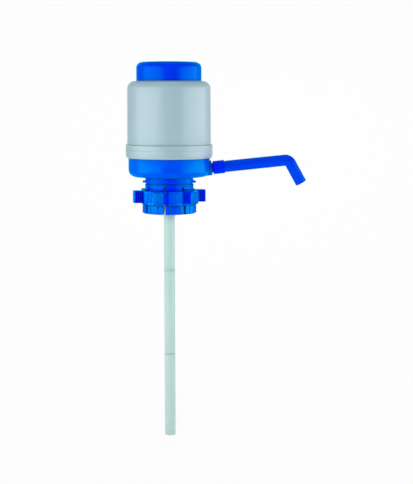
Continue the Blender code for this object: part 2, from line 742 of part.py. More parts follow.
def collet(material):
    """Spigot, inner flange and slotted fingers, whose outer faces are cam ramps under the lock ring."""
    flange_top = COLLET_FLANGE_BOTTOM + COLLET_FLANGE
    bead = NECK_RADIUS + BEAD_REACH
    bead_bottom = RING_TOP + FIT_GAP
    flare = NECK_RADIUS + FLARE_REACH
    flare_top = RING_BOTTOM - FIT_GAP
    shape = bmesh.new()
    corners = [
        (SPIGOT_INNER, SPIGOT_TOP, 0),
        (SPIGOT_OUTER, SPIGOT_TOP, 0),
        (SPIGOT_OUTER, SEAM_HEIGHT - FIT_GAP, 0),
        (NECK_RADIUS, SEAM_HEIGHT - FIT_GAP, 0),
        (NECK_RADIUS, bead_bottom + BEAD_HEIGHT, 0),
        (bead, bead_bottom + BEAD_HEIGHT / 2, 0),
        (bead, bead_bottom, 0),
        (NECK_RADIUS, bead_bottom, 0),
        (NECK_RADIUS, flare_top, 0),
        (flare, flare_top, 0),
        (flare, COLLET_BOTTOM, FLARE_CORNER),
        (COLLET_BORE + MOUTH_CHAMFER, COLLET_BOTTOM, 0),
        (COLLET_BORE, COLLET_BOTTOM + MOUTH_CHAMFER, 0),
        (COLLET_BORE, COLLET_FLANGE_BOTTOM, 0),
        (RISER_HOLE, COLLET_FLANGE_BOTTOM, 0),
        (RISER_HOLE, flange_top, 0),
        (SPIGOT_INNER, flange_top, 0),
    ]
    turned = add_turned(shape, rounded(corners), COLLET_STEPS, Matrix.Rotation(SLOT_PHASE, 4, "Z"))
    for vert in turned:
        radius = vert.co.xy.length
        on_ramp = flare_top - FIT_GAP < vert.co.z < bead_bottom + FIT_GAP
        if on_ramp and abs(radius - NECK_RADIUS) < FIT_GAP:
            lift = cam_lift(math.atan2(vert.co.y, vert.co.x))
            vert.co.xy *= (radius + lift) / radius
    piece = make_piece("collet", shape, material)

    lugs = bmesh.new()
    add_lugs(lugs, 0, SPIGOT_OUTER - SPIGOT_WALL / 2, NECK_RADIUS + LUG_REACH)
    combine(piece, lugs, "UNION", "lugs")

    openings = bmesh.new()
    half = SLOT_WIDTH / 2
    for angle in around(FINGER_COUNT, SLOT_PHASE):
        low = (GASKET_OUTER - OVERRUN, -half, COLLET_BOTTOM - OVERRUN)
        high = (flare + OVERRUN, half, SLOT_TOP)
        add_block(openings, low, high, Matrix.Rotation(angle, 4, "Z"))
    add_air_holes(openings, COLLET_FLANGE_BOTTOM, flange_top)
    combine(piece, openings, "DIFFERENCE", "slots")
    return piece


def ear_outline(angle):
    """Points of one ear, with grip notches along both sides and across its tip."""
    half = EAR_WIDTH / 2
    root = math.sqrt(RING_RADIUS ** 2 - half ** 2)
    tip = RING_RADIUS + EAR_REACH
    side = []
    for notch in range(EAR_SIDE_GRIPS * 2 + 1):
        reach = root + (tip - root) * notch / (EAR_SIDE_GRIPS * 2 + 1)
        inset = GRIP_DEPTH if notch % 2 else 0
        side.append((reach, half - inset))
    points = [(reach, -across) for reach, across in side]
    for notch in range(EAR_TIP_GRIPS * 2 + 1):
        across = half * (notch / EAR_TIP_GRIPS - 1)
        inset = GRIP_DEPTH if notch % 2 else 0
        points.append((math.sqrt(tip ** 2 - across ** 2) - inset, across))
    points += side[::-1]
    turn = Matrix.Rotation(angle, 2)
    return [tuple(turn @ Vector(point)) for point in points]


def body_outline(angle):
    """Points of the ring's body between two ears, with grip notches in its middle."""
    pitch = 2 * math.pi / EAR_COUNT
    ear = 2 * math.asin(EAR_WIDTH / 2 / RING_RADIUS)
    span = (pitch - ear) * BODY_GRIP_SHARE
    points = []
    for notch in range(BODY_GRIPS * 2 + 1):
        here = angle + span * (notch - BODY_GRIPS) / (BODY_GRIPS * 2)
        inset = GRIP_DEPTH if notch % 2 else 0
        points.append(tuple(polar(RING_RADIUS - inset, here).xy))
    return points


def lock_ring(material, carrier):
    """The cam ring: six gripping ears round a body whose bore has one ramp for each finger."""
    outline = []
    for angle in around(EAR_COUNT, EAR_PHASE):
        outline += ear_outline(angle)
        outline += body_outline(angle + math.pi / EAR_COUNT)
    shape = bmesh.new()
    add_prism(shape, outline, RING_TOP - EAR_HEIGHT, RING_TOP)
    piece = make_piece("lock_ring", shape, material)
    keep_in_place(piece, carrier)

    body = bmesh.new()
    body_radius = RING_RADIUS - GRIP_DEPTH / 2
    body_top = RING_TOP - EAR_HEIGHT / 2
    turn = Matrix.Rotation(SLOT_PHASE, 4, "Z")
    add_rod(body, body_radius, RING_BOTTOM, body_top, COLLET_STEPS, turn)
    combine(piece, body, "UNION", "body")

    bore = bmesh.new()
    turned = add_rod(bore, RING_BORE, RING_BOTTOM - OVERRUN, RING_TOP + OVERRUN, COLLET_STEPS, turn)
    for vert in turned:
        radius = vert.co.xy.length
        if radius > RING_BORE / 2:
            lift = cam_lift(math.atan2(vert.co.y, vert.co.x))
            vert.co.xy *= (radius + lift) / radius
    combine(piece, bore, "DIFFERENCE", "bore")
    return piece


def washer(name, inner, outer, bottom, top, material):
    outline = [(inner, bottom), (outer, bottom), (outer, top), (inner, top)]
    return turned_piece(name, outline, INNER_STEPS, material)


def water_elbow(material):
    """The elbow on the bowl's floor: a socket over the riser and an arm into the spout's boss."""
    hub_radius = RISER_HOLE + ELBOW_SOCKET_WALL
    hub_bottom = FLOOR_TOP + FIT_GAP
    hub_top = ELBOW_HEIGHT + ARM_RADIUS
    corners = [
        (0, hub_bottom, 0),
        (hub_radius, hub_bottom, 0),
        (hub_radius, hub_top, ELBOW_CROWN),
        (0, hub_top, 0),
    ]
    piece = turned_piece("water_elbow", rounded(corners), TUBE_STEPS, material)
    along_arm = SWIVEL_PLACE @ ALONG_X
    centre = -SWIVEL_X / math.cos(SPOUT_INCLINE)
    arm_end = -SPIGOT_LENGTH - FIT_GAP * 2
    arm = bmesh.new()
    add_rod(arm, ARM_RADIUS, centre, arm_end, TUBE_STEPS, along_arm)
    combine(piece, arm, "UNION", "arm")

    bore = bmesh.new()
    add_rod(bore, ELBOW_BORE, centre, arm_end + OVERRUN, TUBE_STEPS, along_arm)
    combine(piece, bore, "DIFFERENCE", "bore")

    socket = bmesh.new()
    shoulder = RISER_TOP + FIT_GAP
    outline = [
        (0, hub_bottom - OVERRUN),
        (RISER_HOLE, hub_bottom - OVERRUN),
        (RISER_HOLE, shoulder),
        (RISER_BORE, shoulder),
        (RISER_BORE, ELBOW_HEIGHT + ELBOW_BORE / 2),
        (0, ELBOW_HEIGHT + ELBOW_BORE / 2),
    ]
    add_turned(socket, outline, TUBE_STEPS)
    combine(piece, socket, "DIFFERENCE", "socket")
    return piece


def riser(material):
    """The tube that carries the dip tube below the flange and seals in the elbow above it."""
    groove_top = RISER_TOP - RISER_TOP_LAND
    groove_bottom = groove_top - O_RING_THICKNESS - FIT_GAP * 2
    groove = groove_radius(RISER_STEM_RADIUS)
    tip = RISER_FLANGE_BOTTOM - RISER_SPIGOT_LENGTH
    outline = [
        (RISER_BORE, RISER_TOP),
        (RISER_STEM_RADIUS, RISER_TOP),
        (RISER_STEM_RADIUS, groove_top),
        (groove, groove_top),
        (groove, groove_bottom),
        (RISER_STEM_RADIUS, groove_bottom),
        (RISER_STEM_RADIUS, RISER_FLANGE_TOP),
        (RISER_FLANGE_RADIUS, RISER_FLANGE_TOP),
        (RISER_FLANGE_RADIUS, RISER_FLANGE_BOTTOM),
        (INSERT_RADIUS, RISER_FLANGE_BOTTOM),
        (INSERT_RADIUS, tip + RISER_TIP_CHAMFER),
        (INSERT_RADIUS - RISER_TIP_CHAMFER, tip),
        (RISER_BORE, tip),
    ]
    return turned_piece("riser", outline, TUBE_STEPS, material)


def groove_radius(land):
    """Bottom of an O-ring's groove, for a ring that just clears the socket round the land."""
    return land + FIT_GAP - O_RING_SQUEEZE_GAP * 2 - O_RING_THICKNESS


def o_ring(name, land, height, material, carrier=None, place=None):
    """A round-section ring in a groove below the land's radius, centred at a height."""
    half = O_RING_THICKNESS / 2
    middle = groove_radius(land) + O_RING_SQUEEZE_GAP + half
    outline = []
    for angle in around(O_RING_SIDES, math.pi / O_RING_SIDES):
        outline.append((middle + half * math.cos(angle), height + half * math.sin(angle)))
    shape = bmesh.new()
    add_turned(shape, outline, SMALL_STEPS, place)
    return make_piece(name, shape, material, carrier)


def dip_tube(material, coupler_material):
    """Three equal tubes that meet on couplers whose flanges are flush with the tube."""
    names = ("upper", "middle", "lower")
    top = RISER_FLANGE_BOTTOM - FIT_GAP
    for number, name in enumerate(names):
        bottom = top - TUBE_SECTION_LENGTH
        outline = [(TUBE_BORE, top), (TUBE_RADIUS, top), (TUBE_RADIUS, bottom), (TUBE_BORE, bottom)]
        turned_piece(f"dip_tube_{name}", outline, TUBE_STEPS, material)
        if number < len(names) - 1:
            flange_top = bottom - FIT_GAP
            tube_coupler(f"tube_coupler_{name}", flange_top, coupler_material)
            top = flange_top - COUPLER_FLANGE - FIT_GAP


def tube_coupler(name, flange_top, material):
    flange_bottom = flange_top - COUPLER_FLANGE
    top = flange_top + COUPLER_INSERT
    bottom = flange_bottom - COUPLER_INSERT
    chamfer = INSERT_RADIUS - COUPLER_TIP_CHAMFER
    bore = INSERT_RADIUS - COUPLER_WALL
    outline = [
        (bore, top),
        (chamfer, top),
        (INSERT_RADIUS, top - COUPLER_TIP_CHAMFER),
        (INSERT_RADIUS, flange_top),
        (TUBE_RADIUS, flange_top),
        (TUBE_RADIUS, flange_bottom),
        (INSERT_RADIUS, flange_bottom),
        (INSERT_RADIUS, bottom + COUPLER_TIP_CHAMFER),
        (chamfer, bottom),
        (bore, bottom),
    ]
    return turned_piece(name, outline, SMALL_STEPS, material)


def spout_adapter(material, carrier):
    """The swivelling end: a spigot with two O-ring grooves, a waist and a collar that holds the tube."""
    groove = groove_radius(SPIGOT_RADIUS)
    half_groove = O_RING_THICKNESS / 2 + FIT_GAP
    collar_end = WAIST_LENGTH + ADAPTER_LENGTH
    socket_radius = SPOUT_ROOT_RADIUS + FIT_GAP
    socket_bottom = collar_end - ADAPTER_SOCKET_DEPTH
    outline = [(SPIGOT_BORE, -SPIGOT_LENGTH), (SPIGOT_RADIUS, -SPIGOT_LENGTH)]
    for share in reversed(O_RING_PLACES_SHARE):
        middle = -SPIGOT_LENGTH * share
        outline += [
            (SPIGOT_RADIUS, middle - half_groove),
            (groove, middle - half_groove),
            (groove, middle + half_groove),
            (SPIGOT_RADIUS, middle + half_groove),
        ]
    outline += [
        (SPIGOT_RADIUS, FIT_GAP),
        (WAIST_RADIUS, FIT_GAP),
        (WAIST_RADIUS, WAIST_LENGTH),
        (ADAPTER_RADIUS - ADAPTER_EDGE, WAIST_LENGTH),
        (ADAPTER_RADIUS, WAIST_LENGTH + ADAPTER_EDGE),
        (ADAPTER_RADIUS, collar_end),
        (socket_radius, collar_end),
        (socket_radius, socket_bottom),
        (SPIGOT_BORE, socket_bottom),
    ]
    shape = bmesh.new()
    add_turned(shape, outline, TUBE_STEPS, ALONG_X)
    return make_piece("spout_adapter", shape, material, carrier)


def spout_path(first):
    """Stations (place, direction angle) down the spout's centreline from first to the outlet."""
    bend_radius = SPOUT_TIP_RADIUS + SPOUT_INNER_BEND
    cut_back = bend_radius * math.tan(SPOUT_TURN / 2)
    bend_start = SPOUT_REACH - cut_back
    stations = [(Vector((first, 0, 0)), 0.0)]
    for step in range(BEND_STEPS + 1):
        angle = SPOUT_TURN * step / BEND_STEPS
        x = bend_start + bend_radius * math.sin(angle)
        z = -bend_radius * (1 - math.cos(angle))
        stations.append((Vector((x, 0, z)), angle))
    along = Vector((math.cos(SPOUT_TURN), 0, -math.sin(SPOUT_TURN)))
    stations.append((Vector((SPOUT_REACH, 0, 0)) + along * SPOUT_DROP, SPOUT_TURN))
    return stations


def add_ring(shape, centre, angle, radius, steps):
    """A ring of points square to the spout's centreline."""
    place = Matrix.Translation(centre) @ Matrix.Rotation(angle, 4, "Y") @ ALONG_X
    return [shape.verts.new(place @ polar(radius, turn)) for turn in around(steps)]


def spout_tube(material, carrier):
    """The bent tube, skinned over rings that run down its outside and back up its bore."""
    collar_end = WAIST_LENGTH + ADAPTER_LENGTH
    root = collar_end - ADAPTER_SOCKET_DEPTH + FIT_GAP
    shoulder = collar_end + FIT_GAP
    shape = bmesh.new()
    outer = spout_path(shoulder)
    tip, tip_angle = outer[-1]
    along = Vector((math.cos(tip_angle), 0, -math.sin(tip_angle)))
    straight = outer[1][0].x - shoulder
    rings = [
        add_ring(shape, Vector((root, 0, 0)), 0.0, SPOUT_ROOT_RADIUS, TUBE_STEPS),
        add_ring(shape, Vector((shoulder, 0, 0)), 0.0, SPOUT_ROOT_RADIUS, TUBE_STEPS),
    ]
    for centre, angle in outer[:-1]:
        share = min((centre.x - shoulder) / straight, 1.0)
        radius = SPOUT_RADIUS + (SPOUT_TIP_RADIUS - SPOUT_RADIUS) * share
        rings.append(add_ring(shape, centre, angle, radius, TUBE_STEPS))
    edge = SPOUT_TIP_RADIUS - SPOUT_TIP_EDGE
    rings.append(add_ring(shape, tip - along * SPOUT_TIP_EDGE, tip_angle, SPOUT_TIP_RADIUS, TUBE_STEPS))
    rings.append(add_ring(shape, tip, tip_angle, edge, TUBE_STEPS))
    for centre, angle in reversed(spout_path(root)):
        rings.append(add_ring(shape, centre, angle, SPOUT_BORE, TUBE_STEPS))
    for ring, following in zip(rings, rings[1:] + rings[:1]):
        for side in range(TUBE_STEPS):
            after = (side + 1) % TUBE_STEPS
            shape.faces.new((ring[side], following[side], following[after], ring[after]))
    return make_piece("spout_tube", shape, material, carrier)


def build():
    clear_scene()
    blue = plastic("blue_plastic", (0.0, 0.09, 0.85), 0.28)
    grey = plastic("grey_plastic", (0.46, 0.58, 0.66), 0.42)
    white = plastic("white_plastic", (0.75, 0.76, 0.76), 0.45)
    milky = plastic("tube_plastic", (0.62, 0.66, 0.68), 0.35)
    bellows_plastic = plastic("bellows_plastic", (0.70, 0.72, 0.74), 0.50)
    silicone = plastic("silicone", (0.55, 0.57, 0.58), 0.55)
    rubber = plastic("gasket_rubber", (0.03, 0.035, 0.05), 0.6)
    steel = plastic("screw_steel", (0.55, 0.55, 0.57), 0.30, metallic=1.0)

    press = make_carrier("press_slide", Matrix.Translation((0, 0, HOUSING_TOP)))
    ring_turn = make_carrier("ring_turn", Matrix.Translation((0, 0, RING_TOP)))
    swivel = make_carrier("spout_swivel", SWIVEL_PLACE)

    housing(grey)
    base(blue)
    air_plate(white)
    umbrella_valve("air_valve", PLATE_BOTTOM, PLATE_THICKNESS, silicone)
    bellows(bellows_plastic)
    clamp_ring(white)
    clamp_screws(steel)

    press_cap(blue, press)
    bellows_head(white, press)
    umbrella_valve("intake_valve", HEAD_BOTTOM, HEAD_THICKNESS, silicone, press)

    collet(blue)
    washer("neck_gasket", GASKET_INNER, GASKET_OUTER, 0, GASKET_THICKNESS, rubber)
    washer("collet_seal", SPIGOT_INNER, SPIGOT_OUTER, SEAL_TOP - SEAL_THICKNESS, SEAL_TOP, silicone)
    lock_ring(blue, ring_turn)

    water_elbow(white)
    riser(white)
    ring_height = RISER_TOP - RISER_TOP_LAND - FIT_GAP - O_RING_THICKNESS / 2
    o_ring("riser_o_ring", RISER_STEM_RADIUS, ring_height, silicone)
    dip_tube(milky, white)

    spout_adapter(blue, swivel)
    spout_tube(blue, swivel)
    for name, share in zip(("outer", "inner"), O_RING_PLACES_SHARE):
        place = -SPIGOT_LENGTH * share
        o_ring(f"spout_o_ring_{name}", SPIGOT_RADIUS, place, silicone, swivel, ALONG_X)


build()
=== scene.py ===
import math

import bmesh
import bpy
from mathutils import Matrix, Vector


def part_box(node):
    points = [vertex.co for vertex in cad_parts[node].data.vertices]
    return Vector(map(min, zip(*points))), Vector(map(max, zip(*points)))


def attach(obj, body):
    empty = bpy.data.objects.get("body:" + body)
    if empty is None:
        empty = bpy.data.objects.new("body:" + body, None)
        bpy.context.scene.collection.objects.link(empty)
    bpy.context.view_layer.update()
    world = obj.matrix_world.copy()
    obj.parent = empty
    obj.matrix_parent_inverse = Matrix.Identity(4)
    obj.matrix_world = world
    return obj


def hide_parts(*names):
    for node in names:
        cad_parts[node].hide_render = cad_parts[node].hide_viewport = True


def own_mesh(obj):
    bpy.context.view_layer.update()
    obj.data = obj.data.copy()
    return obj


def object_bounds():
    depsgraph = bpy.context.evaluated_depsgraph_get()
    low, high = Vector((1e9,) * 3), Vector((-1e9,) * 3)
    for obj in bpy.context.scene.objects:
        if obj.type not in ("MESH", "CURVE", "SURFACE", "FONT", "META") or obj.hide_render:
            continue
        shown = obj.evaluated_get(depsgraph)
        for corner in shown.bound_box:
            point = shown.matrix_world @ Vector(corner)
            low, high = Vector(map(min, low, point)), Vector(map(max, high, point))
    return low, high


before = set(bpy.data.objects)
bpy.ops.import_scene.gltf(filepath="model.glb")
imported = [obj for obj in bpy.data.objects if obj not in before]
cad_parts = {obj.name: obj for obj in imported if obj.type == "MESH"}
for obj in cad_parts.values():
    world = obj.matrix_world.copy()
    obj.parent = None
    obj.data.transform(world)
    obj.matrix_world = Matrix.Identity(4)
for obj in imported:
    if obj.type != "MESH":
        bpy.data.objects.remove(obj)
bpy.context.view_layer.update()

# Shapes are drawn in millimetres, while materials and the studio are in metres
MM = 0.001
FIT_GAP = 0.3
AXIS_X = Matrix.Rotation(math.pi / 2, 4, "Y")

# Heights above the plane that the gasket seats on
CAP_TOP = 159.9
CAP_ROOF = 157.7
HOUSING_TOP = 135.4
HOUSING_ROOF = 133.2
SKIRT_TOP = 54.3
RIM_TOP = 51.4
SKIRT_BOTTOM = 37.2
FLOOR_TOP = 14.0
BASE_BOTTOM = 12.0
SEAM = 2.7
RING_TOP = -4.8
EAR_BOTTOM = -20.4
RING_BOTTOM = -22.2
COLLET_BOTTOM = -34.3

# Ledge in the base under the air plate, whose rib hangs lower
PLATE_RIB_DEPTH = 3.0
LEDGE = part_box("air_plate")[0].z / MM + PLATE_RIB_DEPTH - FIT_GAP

# Radii
HOUSING_R = 53.5
BAND_R = 56.2
SEAT_R = 53.6
CAP_R = 41.9
RIM_R = 53.3
RIM_BORE = 50.5
BOWL_R = 52.7
NECK_R = 31.3
COLLET_R = 35.0
COLLET_BORE = 28.3
RING_R = 36.6
PASSAGE_R = 5.3
TUBE_R = 7.1

# Screws that hold the bellows' foot
SCREW_COUNT = 4
SCREW_PHASE = math.pi / 4
SCREW_CIRCLE = 43.9
SCREW_HOLE_R = 1.7

# Air holes round the passage between dip tube and spout
AIR_HOLE_COUNT = 6
AIR_HOLE_PHASE = math.pi / 6
AIR_HOLE_CIRCLE = 13.85
AIR_HOLE_R = 2.4

# Snap lugs that hold the collet in the base's neck
LUG_COUNT = 2
LUG_MIDDLE = SEAM + 0.38 * (BASE_BOTTOM - SEAM)

# Collet fingers, and the cam in the ring that closes them
FINGER_COUNT = 8
SLOT_PHASE = math.radians(-9.0)
CAM_RISE = 0.8

# Ears of the ring: half widths at root and tip, the radius of the tip and the fillet of its corners
EAR_COUNT = 6
EAR_PHASE = math.radians(15.0)
EAR_HALF = 8.0
EAR_END = 7.0
EAR_TIP = 47.6
EAR_CORNER = 1.1

# The spout's line leaves the pump's axis at SPOUT_START and rises to the face of the base's boss
INCLINE = math.radians(5.9)
SPOUT_START = 18.3
SWIVEL_X = 55.4
SWIVEL = Vector((SWIVEL_X, 0, SPOUT_START + SWIVEL_X * math.tan(INCLINE)))
SPOUT_LIE = Matrix.Translation(SWIVEL) @ Matrix.Rotation(-INCLINE, 4, "Y")
SWIVEL_PLACE = SPOUT_LIE @ AXIS_X

# Places along that line from the boss's face, and radii about it
SPIGOT_END = -16.0
PIPE_ROOT = 5.7
PIPE_OUT = 16.7
SPIGOT_R = 6.0
SPIGOT_BORE = 3.6
COLLAR_R = 8.6

# Steps round a full turn, and along the spout's straight run
COLLET_STEPS = 192
SHELL_STEPS = 160
BASE_STEPS = 144
SEAL_STEPS = 120
BOSS_STEPS = 64
PIPE_STEPS = 56
SLEEVE_STEPS = 48
POST_STEPS = 32
HOLE_STEPS = 24
GROOVE_STEPS = 16
STRAIGHT_STEPS = 9

# Turn of one step along a fillet, the fillet under which two steps do, and the turn of a sharp edge
ARC_STEP = math.radians(12)
SMALL_FILLET = 0.5
SHARP_ANGLE = math.radians(38)


# Mesh helpers

def polar(radius, angle, z=0.0):
    return Vector((radius * math.cos(angle), radius * math.sin(angle), z))


def around(count, phase=0.0):
    return [phase + 2 * math.pi * i / count for i in range(count)]


def turn_z(angle):
    return Matrix.Rotation(angle, 4, "Z")


def heights(node):
    """Lowest and highest point of a CAD node."""
    return tuple(corner.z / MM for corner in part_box(node))


def rounded(corners):
    """Outline points from (radius, height, fillet) corners, each fillet an arc."""
    points = []
    count = len(corners)
    for i, (x, y, fillet) in enumerate(corners):
        here = Vector((x, y))
        if not fillet:
            points.append((x, y))
            continue
        back = (Vector(corners[i - 1][:2]) - here).normalized()
        ahead = (Vector(corners[(i + 1) % count][:2]) - here).normalized()
        half = back.angle(ahead) / 2
        centre = here + (back + ahead).normalized() * fillet / math.sin(half)
        start = here + back * fillet / math.tan(half) - centre
        sweep = math.pi - 2 * half
        if back.cross(ahead) > 0:
            sweep = -sweep
        steps = 2
        if fillet >= SMALL_FILLET:
            steps = max(steps, round(abs(sweep) / ARC_STEP))
        for k in range(steps + 1):
            p = centre + Matrix.Rotation(sweep * k / steps, 2) @ start
            points.append((p.x, p.y))
    return points


def spin(bm, outline, steps, place=None):
    """Turns an outline about Z: a closed loop, or a run from axis to axis."""
    open_run = outline[0][0] == 0 and outline[-1][0] == 0
    rings = []
    for r, z in outline:
        if r == 0:
            rings.append([bm.verts.new((0, 0, z))])
        else:
            rings.append([bm.verts.new(polar(r, a, z)) for a in around(steps)])
    pairs = list(zip(rings, rings[1:]))
    if not open_run:
        pairs.append((rings[-1], rings[0]))
    for a, b in pairs:
        for k in range(steps):
            j = (k + 1) % steps
            if len(a) == 1:
                bm.faces.new((a[0], b[j], b[k]))
            elif len(b) == 1:
                bm.faces.new((a[k], a[j], b[0]))
            else:
                bm.faces.new((a[k], a[j], b[j], b[k]))
    made = [v for ring in rings for v in ring]
    if place is not None:
        bmesh.ops.transform(bm, matrix=place, verts=made)
    return made


def rod(bm, radius, low, high, steps, place):
    spin(bm, [(0, low), (radius, low), (radius, high), (0, high)], steps, place)


def bevel(bm, edges, width):
    bmesh.ops.bevel(bm, geom=list(edges), offset=width, segments=2, profile=0.5, affect="EDGES")


def block(bm, low, high, place, edge=0.0):
    low, high = Vector(low), Vector(high)
    matrix = place @ (Matrix.Translation((low + high) / 2) @ Matrix.Diagonal(high - low).to_4x4())
    made = bmesh.ops.create_cube(bm, size=1, matrix=matrix)["verts"]
    if edge:
        bevel(bm, {e for v in made for e in v.link_edges}, edge)


def prism(bm, outline, low, high, edge=0.0):
    """Raises an (x, y) outline, with its top and bottom edges drawn in by edge."""
    bottom = [bm.verts.new((x, y, low)) for x, y in outline]
    top = [bm.verts.new((x, y, high)) for x, y in outline]
    count = len(outline)
    for i in range(count):
        j = (i + 1) % count
        bm.faces.new((bottom[i], bottom[j], top[j], top[i]))
    caps = [bm.faces.new(bottom[::-1]), bm.faces.new(top)]
    if edge:
        bevel(bm, {e for f in caps for e in f.edges}, edge)


def to_object(name, bm):
    """A mesh object in metres from a shape drawn in millimetres."""
    bmesh.ops.recalc_face_normals(bm, faces=bm.faces)
    mesh = bpy.data.meshes.new(name)
    bm.to_mesh(mesh)
    bm.free()
    mesh.transform(Matrix.Scale(MM, 4))
    mesh.shade_smooth()
    mesh.set_sharp_from_angle(angle=SHARP_ANGLE)
    obj = bpy.data.objects.new(name, mesh)
    bpy.context.scene.collection.objects.link(obj)
    return obj


def turned(name, corners, steps):
    bm = bmesh.new()
    spin(bm, rounded(corners), steps)
    return to_object(name, bm)


def boolean(obj, bm, operation):
    """Joins a drawn shape to a piece, or cuts it out."""
    tool = to_object(obj.name + "_tool", bm)
    mod = obj.modifiers.new("b", "BOOLEAN")
    mod.operation = operation
    mod.object = tool
    mod.solver = "EXACT"
    deps = bpy.context.evaluated_depsgraph_get()
    mesh = bpy.data.meshes.new_from_object(obj.evaluated_get(deps))
    obj.modifiers.clear()
    obj.data = mesh
    mesh.shade_smooth()
    mesh.set_sharp_from_angle(angle=SHARP_ANGLE)
    bpy.data.objects.remove(tool)


def screw_rods(bm, radius, low, high, steps):
    for a in around(SCREW_COUNT, SCREW_PHASE):
        rod(bm, radius, low, high, steps, Matrix.Translation(polar(SCREW_CIRCLE, a)))


def air_holes(bm, low, high):
    for a in around(AIR_HOLE_COUNT, AIR_HOLE_PHASE):
        rod(bm, AIR_HOLE_R, low, high, HOLE_STEPS, Matrix.Translation(polar(AIR_HOLE_CIRCLE, a)))


def lug_blocks(bm, inner, outer, half_width, half_height, edge=0.0):
    low = (inner, -half_width, LUG_MIDDLE - half_height)
    high = (outer, half_width, LUG_MIDDLE + half_height)
    for a in around(LUG_COUNT):
        block(bm, low, high, turn_z(a), edge)


# Node helpers

def node_tree(name):
    mat = bpy.data.materials.new(name)
    mat.use_nodes = True
    return mat, mat.node_tree, mat.node_tree.nodes["Principled BSDF"]


def add(tree, kind, **values):
    """A new node: the values named in_... are its inputs, and the others its settings."""
    made = tree.nodes.new(kind)
    for key, value in values.items():
        if key.startswith("in_"):
            made.inputs[key[3:].replace("_", " ")].default_value = value
        else:
            setattr(made, key, value)
    return made


def set_inputs(shader, **values):
    for key, value in values.items():
        shader.inputs[key.replace("_", " ")].default_value = value


def noise(tree, coords, scale, detail, rough, distortion=0.0):
    made = add(tree, "ShaderNodeTexNoise", in_Scale=scale, in_Detail=detail, in_Roughness=rough,
               in_Distortion=distortion)
    tree.links.new(coords, made.inputs["Vector"])
    return made.outputs["Fac"]


def stretch(tree, coords, scale):
    made = add(tree, "ShaderNodeMapping", in_Scale=scale)
    tree.links.new(coords, made.inputs["Vector"])
    return made.outputs["Vector"]


def ramp(tree, value, dark, light):
    """Black up to dark, and white from light on."""
    made = add(tree, "ShaderNodeValToRGB")
    tree.links.new(value, made.inputs["Fac"])
    for element, position, level in zip(made.color_ramp.elements, (dark, light), (0, 1)):
        element.position = position
        element.color = (level, level, level, 1.0)
    return made.outputs["Color"]


def span(tree, value, low, high):
    made = add(tree, "ShaderNodeMapRange", in_To_Min=low, in_To_Max=high)
    tree.links.new(value, made.inputs["Value"])
    return made.outputs["Result"]


def mix(tree, factor, a, b, mode="MIX"):
    """Mixes two colours, each a tuple or a node's output."""
    made = add(tree, "ShaderNodeMix", data_type="RGBA", blend_type=mode)
    tree.links.new(factor, made.inputs[0])
    for socket, value in ((made.inputs[6], a), (made.inputs[7], b)):
        if isinstance(value, tuple):
            socket.default_value = (*value, 1.0)
        else:
            tree.links.new(value, socket)
    return made.outputs[2]


def joined(tree, operation, first, second):
    """A math node on two values, each a number or a node's output."""
    made = add(tree, "ShaderNodeMath", operation=operation)
    for socket, value in zip(made.inputs, (first, second)):
        if isinstance(value, float):
            socket.default_value = value
        else:
            tree.links.new(value, socket)
    return made.outputs[0]


def bump(tree, height, strength, distance, after=None):
    made = add(tree, "ShaderNodeBump", in_Strength=strength, in_Distance=distance)
    tree.links.new(height, made.inputs["Height"])
    if after is not None:
        tree.links.new(after, made.inputs["Normal"])
    return made.outputs["Normal"]


# Materials

def rubbed_and_highlit(tree, coords, tone, edge):
    """The tone, with a lighter one in patches on the convex edges: partly rubbed wear, partly painted edge
    highlight.
    """
    point = add(tree, "ShaderNodeNewGeometry").outputs["Pointiness"]
    worn_and_highlit_edge = ramp(tree, point, dark=0.53, light=0.60)
    patches = noise(tree, coords, scale=900, detail=4, rough=0.7)
    wear_and_highlight = mix(tree, span(tree, patches, 0.2, 0.8), (0, 0, 0), worn_and_highlit_edge, "MULTIPLY")
    return mix(tree, wear_and_highlight, tone, edge)


def shadowed(tree, tone, hollow_shade, hollow):
    """The tone, with a darker one where the piece closes in on itself or on its neighbours: painted shade in
    hollows and under neighbouring parts.
    """
    closed_in, in_the_open, reach = hollow
    nearby = add(tree, "ShaderNodeAmbientOcclusion", samples=8, in_Distance=reach)
    open_air = ramp(tree, nearby.outputs["AO"], dark=closed_in, light=in_the_open)
    return mix(tree, open_air, hollow_shade, tone)


def relief(tree, coords, grain, lines):
    """Fine grain, a coarser one in it, and lines turned round the piece."""
    fine = noise(tree, coords, scale=2600, detail=2, rough=0.6)
    coarse = noise(tree, coords, scale=300, detail=3, rough=0.5)
    normal = bump(tree, fine, strength=grain, distance=0.00006)
    normal = bump(tree, coarse, strength=grain * 0.7, distance=0.0002, after=normal)
    if lines:
        wave = add(tree, "ShaderNodeTexWave", wave_type="BANDS", bands_direction="Z", wave_profile="SIN",
                   in_Scale=150, in_Distortion=0.6, in_Detail=2, in_Detail_Scale=0.3)
        tree.links.new(coords, wave.inputs["Vector"])
        normal = bump(tree, wave.outputs["Fac"], strength=lines, distance=0.00012, after=normal)
    return normal


